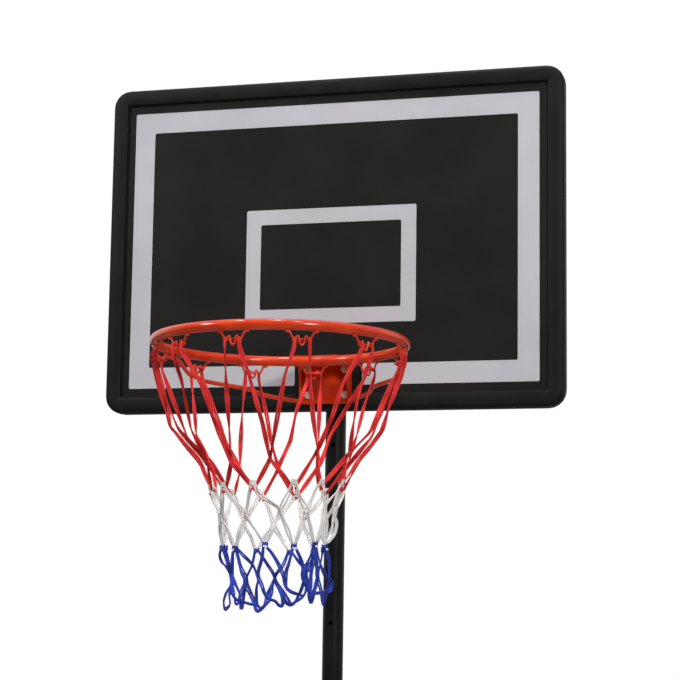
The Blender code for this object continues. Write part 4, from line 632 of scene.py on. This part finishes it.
def make_ring():
    """The bent tube, spun round from one circle."""
    ring = bmesh.new()
    upright = Matrix.Translation(RING_CENTRE + Vector((0.0, -RING_RADIUS, 0.0))) @ Matrix.Rotation(
        math.radians(90), 4, "Y")
    bmesh.ops.create_circle(ring, segments=RING_SIDES, radius=RING_TUBE, matrix=upright)
    bmesh.ops.spin(ring, geom=[*ring.verts, *ring.edges], cent=RING_CENTRE, axis=UP, angle=math.tau,
                   steps=RING_STEPS, use_merge=True)
    bmesh.ops.recalc_face_normals(ring, faces=ring.faces)
    finish_piece("rim_ring_tube", ring, ORANGE_STEEL, "mast", ["rim_ring"])


def make_braces():
    """Round rods from under the ring's sides down and back to the outside of the bracket's lower corners."""
    points = [around(math.radians(angle), drop, radius) for angle, drop, radius in BRACE_AT_RING]
    points += [RING_CENTRE + Vector(place) for place in BRACE_AT_BRACKET]
    route = smooth_path(points, BRACE_SMOOTHING)
    for name, way in (("left", -1), ("right", 1)):
        brace = bmesh.new()
        mirrored = [Vector((way * point.x, point.y, point.z)) for point in route]
        wire(brace, mirrored, BRACE_WIRE, UP, BRACE_SIDES)
        finish_piece(f"brace_{name}", brace, ORANGE_STEEL, "mast", [f"brace_rod_{name}"])


def make_hooks():
    """Each hook is one wire bent into a W, with both feet laid along the tube and welded there."""
    outline = [(-along, drop) for along, drop in HOOK_HALF] + [HOOK_TIP] + list(HOOK_HALF[::-1])
    for number, degrees in enumerate(HOOK_ANGLES):
        angle = math.radians(degrees)
        outward = around(angle, 0.0, 1.0) - around(angle, 0.0, 0.0)
        hook = bmesh.new()
        route = [around(angle, drop, RING_RADIUS, along) for along, drop in outline]
        wire(hook, smooth_path(route, HOOK_SMOOTHING), HOOK_WIRE, outward, HOOK_SIDES)
        for way in (-1, 1):
            turned = angle + way * HOOK_WELD_ALONG / RING_RADIUS
            place = Matrix.Translation(around(turned, HOOK_WELD_DROP, RING_RADIUS))
            facing = Matrix.Rotation(turned, 4, "Z") @ Matrix.Diagonal((*HOOK_WELD, 1.0))
            blob = bmesh.ops.create_icosphere(hook, subdivisions=2, radius=1.0)["verts"]
            bmesh.ops.transform(hook, verts=blob, matrix=place @ facing)
        name = f"{number + 1:02d}"
        finish_piece(f"wire_hook_{name}", hook, ORANGE_STEEL, "mast", [f"net_hook_{name}"])


def eased_piece(name, node, finish, body, edge):
    """A node's own solid, with its keen edges rounded where the real one's are, and its shading evened."""
    shape = bmesh.new()
    shape.from_mesh(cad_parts[node].data)
    bmesh.ops.remove_doubles(shape, verts=shape.verts, dist=SAME_PLACE)
    if edge:
        bmesh.ops.dissolve_limit(shape, angle_limit=FLAT, verts=shape.verts, edges=shape.edges)
        keen = [line for line in shape.edges if len(line.link_faces) == 2 and line.calc_face_angle(0.0) > KEEN]
        bmesh.ops.bevel(shape, geom=keen, offset=edge, offset_type="OFFSET", segments=EASED_STEPS, profile=0.5,
                        affect="EDGES", clamp_overlap=True, material=-1)
        bmesh.ops.remove_doubles(shape, verts=shape.verts, dist=SAME_PLACE)
    piece = finish_piece(name, shape, finish, body, [node], EASED_CREASE)
    if edge:
        piece.modifiers.new("even_shading", "WEIGHTED_NORMAL").keep_sharp = True


def make_eased_pieces():
    """Nodes whose form is right, and only need the soft edges that the real ones have."""
    for name, (node, finish, body, slot, edge) in EASED.items():
        eased_piece(name, node, finish, body, edge)
    for body, fixings in FIXINGS.items():
        for node in fixings:
            eased_piece(f"{node}_plated", node, ZINC, body, FIXING_EDGE)


def make_bracket_welds():
    """Rippled weld beads along the tongue's end, where it meets the ring's tube."""
    beads = bmesh.new()
    steps = round(2 * WELD_REACH / WELD_STEP) + 1
    for drop, radius in TONGUE_WELDS:
        points = [around(math.radians(180.0 - WELD_REACH + WELD_STEP * step), drop, radius) for step in range(steps)]
        stations = []
        for i, (point, (_, across, up)) in enumerate(zip(points, carried_frames(points, UP))):
            size = WELD_BEAD * (1.0 + WELD_RIPPLE * math.cos(math.pi * i))
            stations.append((point, across * size, up * size))
        add_to(beads, rolled_bar(stations, WELD_SIDES))
    finish_piece("bracket_weld_beads", beads, ORANGE_STEEL, "mast")


# Net

def net_radius(drop):
    """The net's radius at a drop below the ring's plane."""
    for (low, wide), (high, narrow) in zip(NET_OUTLINE, NET_OUTLINE[1:]):
        if drop <= high:
            return wide + (narrow - wide) * (drop - low) / (high - low)
    return NET_OUTLINE[-1][1]


def spot(degrees, drop, out=0.0):
    """A point on the net's outline, or out from it."""
    return around(math.radians(degrees), drop, net_radius(drop) + out)


def cornered_path(points, reach, step):
    """Straight runs with their corners cut short, sampled about a step apart."""
    for share in CORNER_CUTS:
        trimmed = [points[0]]
        for before, corner, after in zip(points, points[1:], points[2:]):
            for other in (before, after):
                way = other - corner
                trimmed.append(corner + way * min(reach * share / way.length, CORNER_LIMIT))
        points = trimmed + [points[-1]]
    path = []
    for start, end in zip(points, points[1:]):
        parts = max(1, round((end - start).length / step))
        path += [start.lerp(end, part / parts) for part in range(parts)]
    return path + [points[-1]]


def doubled_cord(whole, corners, pinches, cords, chance):
    """Two flat strands side by side. They draw together at pinches, and turn over and part between them."""
    half_width, half_thickness, twist, loose = cords
    points = cornered_path(corners, CORD_CORNER, CORD_STEP)
    outward = points[0] - RING_CENTRE
    outward.z = 0.0
    frames = carried_frames(points, (points[1] - points[0]).cross(outward))
    phase = chance.uniform(0.0, math.tau)
    parting = loose * chance.uniform(LEAST_PARTING, 1.0)
    lanes = ([], [])
    travelled = 0.0
    for i, (point, (_, across, up)) in enumerate(zip(points, frames)):
        travelled += (point - points[max(i - 1, 0)]).length
        swing = phase + math.tau * travelled / CORD_TWIST_PITCH
        full = min(min((point - pinch).length for pinch in pinches) / CORD_PINCH, 1.0)
        turn = twist * full * math.sin(swing)
        wide = across * math.cos(turn) + up * math.sin(turn)
        thick = up * math.cos(turn) - across * math.sin(turn)
        width = half_width * (PINCHED_WIDTH + (1.0 - PINCHED_WIDTH) * full)
        depth = half_thickness * (PINCHED_THICKNESS + (1.0 - PINCHED_THICKNESS) * full)
        apart = width * STRAND_SPACING + parting * full * max(0.0, math.sin(swing * PARTING_PACE + phase))
        for lane, stations in zip((-1.0, 1.0), lanes):
            stations.append((point + wide * (lane * apart), wide * width, thick * depth))
    for stations in lanes:
        add_to(whole, rolled_bar(stations, CORD_SIDES))


def wound_knot(whole, knot, winding):
    """A few tight turns of cord round a knot, a little below its middle."""
    radius, turns, height, strand = winding
    centre = spot(knot[0], knot[1] + WINDING_DROP)
    count = int(turns * WINDING_STEPS)
    points = []
    for i in range(count + 1):
        swing = math.tau * i / WINDING_STEPS
        points.append(centre + Vector((radius * math.cos(swing), radius * math.sin(swing),
                                       height * (0.5 - i / count))))
    stations = []
    for point, (_, across, up) in zip(points, carried_frames(points, UP)):
        stations.append((point, across * strand * WINDING_FLATNESS, up * strand))
    add_to(whole, rolled_bar(stations, CORD_SIDES))


def cut_ends(whole, knot, ends, chance):
    """Two short cut ends that stick out below a knot."""
    degrees, drop = knot
    low, high, strand = ends
    for way in (-1.0, 1.0):
        lean = degrees + way * chance.uniform(*ENDS_LEAN)
        points = [spot(lean, drop + low, ENDS_OUT[0]), spot(lean, drop + (low + high) / 2, ENDS_OUT[1]),
                  spot(lean + way * ENDS_TURN, drop + high * chance.uniform(*ENDS_VARY), ENDS_OUT[2])]
        stations = []
        for point, (_, across, up) in zip(points, carried_frames(points, RIGHT)):
            stations.append((point, across * strand, up * strand))
        add_to(whole, rolled_bar(stations, CORD_SIDES))


def beside(knot, way, aside, below, out=0.0):
    """A point a little to one side of a knot."""
    return spot(knot[0] + way * aside, knot[1] + below, out)


def midway(one, other, out):
    """The middle between two places on the net, pushed out a little."""
    middle = (spot(*one) + spot(*other)) / 2
    outward = middle - RING_CENTRE
    outward.z = 0.0
    return middle + outward.normalized() * out


def strayed(point, chance, amount):
    """A point moved a little at random, as slack cord lies."""
    return point + Vector((chance.uniform(-amount, amount), chance.uniform(-amount, amount),
                           chance.uniform(-amount, amount)))


def passing(crossing, way, lean):
    """A cord's two corners at a crossing, where it leans across another that lies on its other face."""
    degrees, drop = crossing
    aside, reach, out = lean
    return [spot(degrees - way * aside, drop - reach, out * way),
            spot(degrees + way * aside, drop + reach, out * way)]


def over_hook(angle, way):
    """The cord's way over one side of a hook."""
    return [around(angle, drop, RING_RADIUS + out, way * along) for along, drop, out in HOOK_LOOP]


def make_red_net():
    """Doubled cords over the hooks. Their legs cross their neighbours' and end in knots under the next hooks."""
    red = bmesh.new()
    chance = random.Random(4)
    for number, degrees in enumerate(HOOK_ANGLES):
        angle = math.radians(degrees)
        top = around(angle, LOOP_TOP[0], RING_RADIUS + LOOP_TOP[1])
        halves = []
        pinches = [top]
        for way, bends in zip((-1, 1), LEG_BENDS[number]):
            bulge = LEG_BULGES.get(number, 0.0)
            leg = [spot(degrees + swing, drop, bulge + chance.uniform(*RED_BENDS_OUT)) for swing, drop in bends]
            crossing = RED_CROSSINGS[(number + min(way, 0)) % HOOKS]
            end = beside(RED_KNOTS[(number + way) % HOOKS], way, *RED_END)
            valley = over_hook(angle, way)
            pinches += [valley[2], end]
            halves.append(valley[::-1] + leg + passing(crossing, way, RED_PASSING) + [end])
        doubled_cord(red, halves[0][::-1] + [top] + halves[1], pinches, RED_CORDS, chance)
        cut_ends(red, RED_KNOTS[number], RED_ENDS, chance)
    finish_piece("red_net_cords", red, RED_CORD, "mast", ["net_red"], CORD_CREASE)


def make_white_net():
    """From each red knot two doubled cords hang, cross their neighbours and meet at the next knots."""
    white = bmesh.new()
    chance = random.Random(9)
    for number, knot in enumerate(RED_KNOTS):
        for way in (-1, 1):
            start = beside(knot, way, *WHITE_START)
            hang = strayed(beside(knot, way, *WHITE_HANG), chance, WHITE_HANG_STRAY)
            crossing = WHITE_CROSSINGS[(number + min(way, 0)) % HOOKS]
            below = WHITE_KNOTS[(number + way) % HOOKS]
            belly = strayed(midway(crossing, below, WHITE_BELLY_OUT), chance, WHITE_BELLY_STRAY)
            end = beside(below, way, *WHITE_END)
            doubled_cord(white, [start, hang] + passing(crossing, way, WHITE_PASSING) + [belly, end],
                         [start, end], WHITE_CORDS, chance)
        wound_knot(white, knot, WHITE_WINDING)
        cut_ends(white, WHITE_KNOTS[number], WHITE_ENDS, chance)
    stray = [spot(*place) for place in WHITE_STRAY]
    doubled_cord(white, stray, [stray[0], stray[-1]], STRAY_CORDS, chance)
    finish_piece("white_net_cords", white, WHITE_CORD, "mast", ["net_white"], CORD_CREASE)


def make_blue_net():
    """Behind, each doubled cord goes down past its neighbour, turns at a tip and comes up two knots further on. In
    front they are drawn together and tangled."""
    blue = bmesh.new()
    chance = random.Random(21)
    for number in BLUE_LOOPS:
        knot = WHITE_KNOTS[number]
        first = BLUE_CROSSINGS[number]
        tip = BLUE_TIPS[(number + 1) % HOOKS]
        second = BLUE_CROSSINGS[(number + 1) % HOOKS]
        last = WHITE_KNOTS[(number + 2) % HOOKS]
        start = beside(knot, 1, *BLUE_END)
        end = beside(last, -1, *BLUE_END)
        sag = chance.uniform(-BLUE_TIP_SAG, BLUE_TIP_SAG)
        turn_right = spot(tip[0] + chance.uniform(*BLUE_TIP_TURN), tip[1] + sag, chance.uniform(*BLUE_TIP_OUT))
        turn_left = spot(tip[0] - chance.uniform(*BLUE_TIP_TURN), tip[1] - sag, chance.uniform(*BLUE_TIP_OUT))
        route = [start, strayed(midway(knot, first, BLUE_KNEE_OUT), chance, BLUE_KNEE_STRAY)]
        route += passing(first, 1, BLUE_PASSING)
        route += [strayed(midway(first, tip, BLUE_BELLY_OUT), chance, BLUE_BELLY_STRAY), turn_left, turn_right,
                  strayed(midway(second, tip, BLUE_BELLY_OUT), chance, BLUE_BELLY_STRAY)]
        route += passing(second, -1, BLUE_PASSING)[::-1]
        route += [strayed(midway(last, second, BLUE_KNEE_OUT), chance, BLUE_KNEE_STRAY), end]
        doubled_cord(blue, route, [start, end, (turn_left + turn_right) / 2], BLUE_BACK_CORDS, chance)
    for places in BLUE_FRONT:
        route = [strayed(spot(*place), chance, BLUE_FRONT_STRAY) for place in places]
        doubled_cord(blue, route, [route[0], route[-1]], BLUE_FRONT_CORDS, chance)
    for knot in WHITE_KNOTS:
        wound_knot(blue, knot, BLUE_WINDING)
    finish_piece("blue_net_cords", blue, BLUE_CORD, "mast", ["net_blue"], CORD_CREASE)


# Room

def make_camera():
    """The photograph's view, fitted to the board and the ring."""
    camera = bpy.data.cameras.new("camera")
    camera.sensor_width = SENSOR_WIDTH
    camera.lens = LENS
    camera.shift_y = LENS_SHIFT
    forward = Vector((math.sin(CAMERA_YAW) * math.cos(CAMERA_PITCH), math.cos(CAMERA_YAW) * math.cos(CAMERA_PITCH),
                      math.sin(CAMERA_PITCH)))
    level = Vector((math.cos(CAMERA_YAW), -math.sin(CAMERA_YAW), 0.0))
    upright = level.cross(forward)
    right = level * math.cos(CAMERA_ROLL) + upright * math.sin(CAMERA_ROLL)
    up = upright * math.cos(CAMERA_ROLL) - level * math.sin(CAMERA_ROLL)
    turned = Matrix((right, up, -forward)).transposed().to_4x4()
    view = bpy.data.objects.new("camera", camera)
    view.matrix_world = Matrix.Translation(CAMERA_PLACE) @ turned
    bpy.context.scene.collection.objects.link(view)
    bpy.context.scene.camera = view


def make_lamp(name, place, target, size, power):
    """A soft round lamp aimed at a point."""
    lamp = bpy.data.lights.new(name, "AREA")
    lamp.shape = "DISK"
    lamp.size = size
    lamp.energy = power
    stand = bpy.data.objects.new(name, lamp)
    stand.location = place
    stand.rotation_mode = "QUATERNION"
    stand.rotation_quaternion = (Vector(target) - Vector(place)).to_track_quat("-Z", "Y")
    bpy.context.scene.collection.objects.link(stand)


def make_world():
    """A white surround for the camera and for reflections of what stands behind, and soft grey light elsewhere."""
    world = bpy.data.worlds.new("pale_room")
    world.use_nodes = True
    bpy.context.scene.world = world
    background = world.node_tree.nodes["Background"]
    path = add(world, "ShaderNodeLightPath").outputs
    direction = add(world, "ShaderNodeTexCoord").outputs["Generated"]
    depth = add(world, "ShaderNodeSeparateXYZ", {"Vector": direction}).outputs["Y"]
    behind = add(world, "ShaderNodeMapRange", {"Value": depth, "From Min": -ROOM_FADE, "From Max": ROOM_FADE,
                                               "To Min": ROOM_FRONT, "To Max": 1.0}).outputs["Result"]
    mirrored = add(world, "ShaderNodeMath", {0: path["Is Glossy Ray"], 1: behind}, operation="MULTIPLY")
    seen = add(world, "ShaderNodeMath", {0: path["Is Camera Ray"], 1: path["Is Transmission Ray"]},
               operation="MAXIMUM")
    strength = add(world, "ShaderNodeMath", {0: seen.outputs["Value"], 1: mirrored.outputs["Value"]},
                   operation="MAXIMUM")
    lit = add(world, "ShaderNodeMath", {0: strength.outputs["Value"], 1: ROOM_LIGHT}, operation="MAXIMUM")
    background.inputs["Color"].default_value = (1.0, 1.0, 1.0, 1.0)
    world.node_tree.links.new(lit.outputs["Value"], background.inputs["Strength"])


def make_floor():
    """A wide white floor that keeps the object's shadow, and gives a modest bounce of light."""
    floor = bmesh.new()
    bmesh.ops.create_grid(floor, x_segments=1, y_segments=1, size=FLOOR_HALF_WIDTH)
    mesh = bpy.data.meshes.new("floor")
    floor.to_mesh(mesh)
    floor.free()
    material, shader = started("pale_floor_paint", Roughness=0.8, Specular_IOR_Level=0.1)
    shader.inputs["Base Color"].default_value = linear("#BEBEBE")
    place = add(material, "ShaderNodeTexCoord").outputs["Object"]
    away = add(material, "ShaderNodeVectorMath", {0: place}, operation="LENGTH").outputs["Value"]
    whiteness = spread(material, away, FLOOR_NEAR_SHARE, 1.0, FLOOR_FADE_START, FLOOR_FADE_END)
    glow = add(material, "ShaderNodeEmission", {"Strength": 1.0})
    share = add(material, "ShaderNodeLightPath").outputs["Is Camera Ray"]
    seen = add(material, "ShaderNodeMath", {0: share, 1: whiteness}, operation="MULTIPLY").outputs["Value"]
    mix = add(material, "ShaderNodeMixShader", {0: seen, 1: shader.outputs["BSDF"], 2: glow.outputs["Emission"]})
    material.node_tree.links.new(mix.outputs["Shader"], material.node_tree.nodes["Material Output"].inputs["Surface"])
    mesh.materials.append(material)
    sheet = bpy.data.objects.new("floor", mesh)
    sheet.location = (0.0, 0.0, cad_box[0].z)
    bpy.context.scene.collection.objects.link(sheet)


make_camera()
make_world()
make_floor()
for lamp_row in LAMPS:
    make_lamp(*lamp_row)
dress_nodes()
make_eased_pieces()
make_prints()
make_ring()
make_braces()
make_hooks()
make_bracket_welds()
make_red_net()
make_white_net()
make_blue_net()
bpy.context.scene.view_settings.view_transform = "Standard"
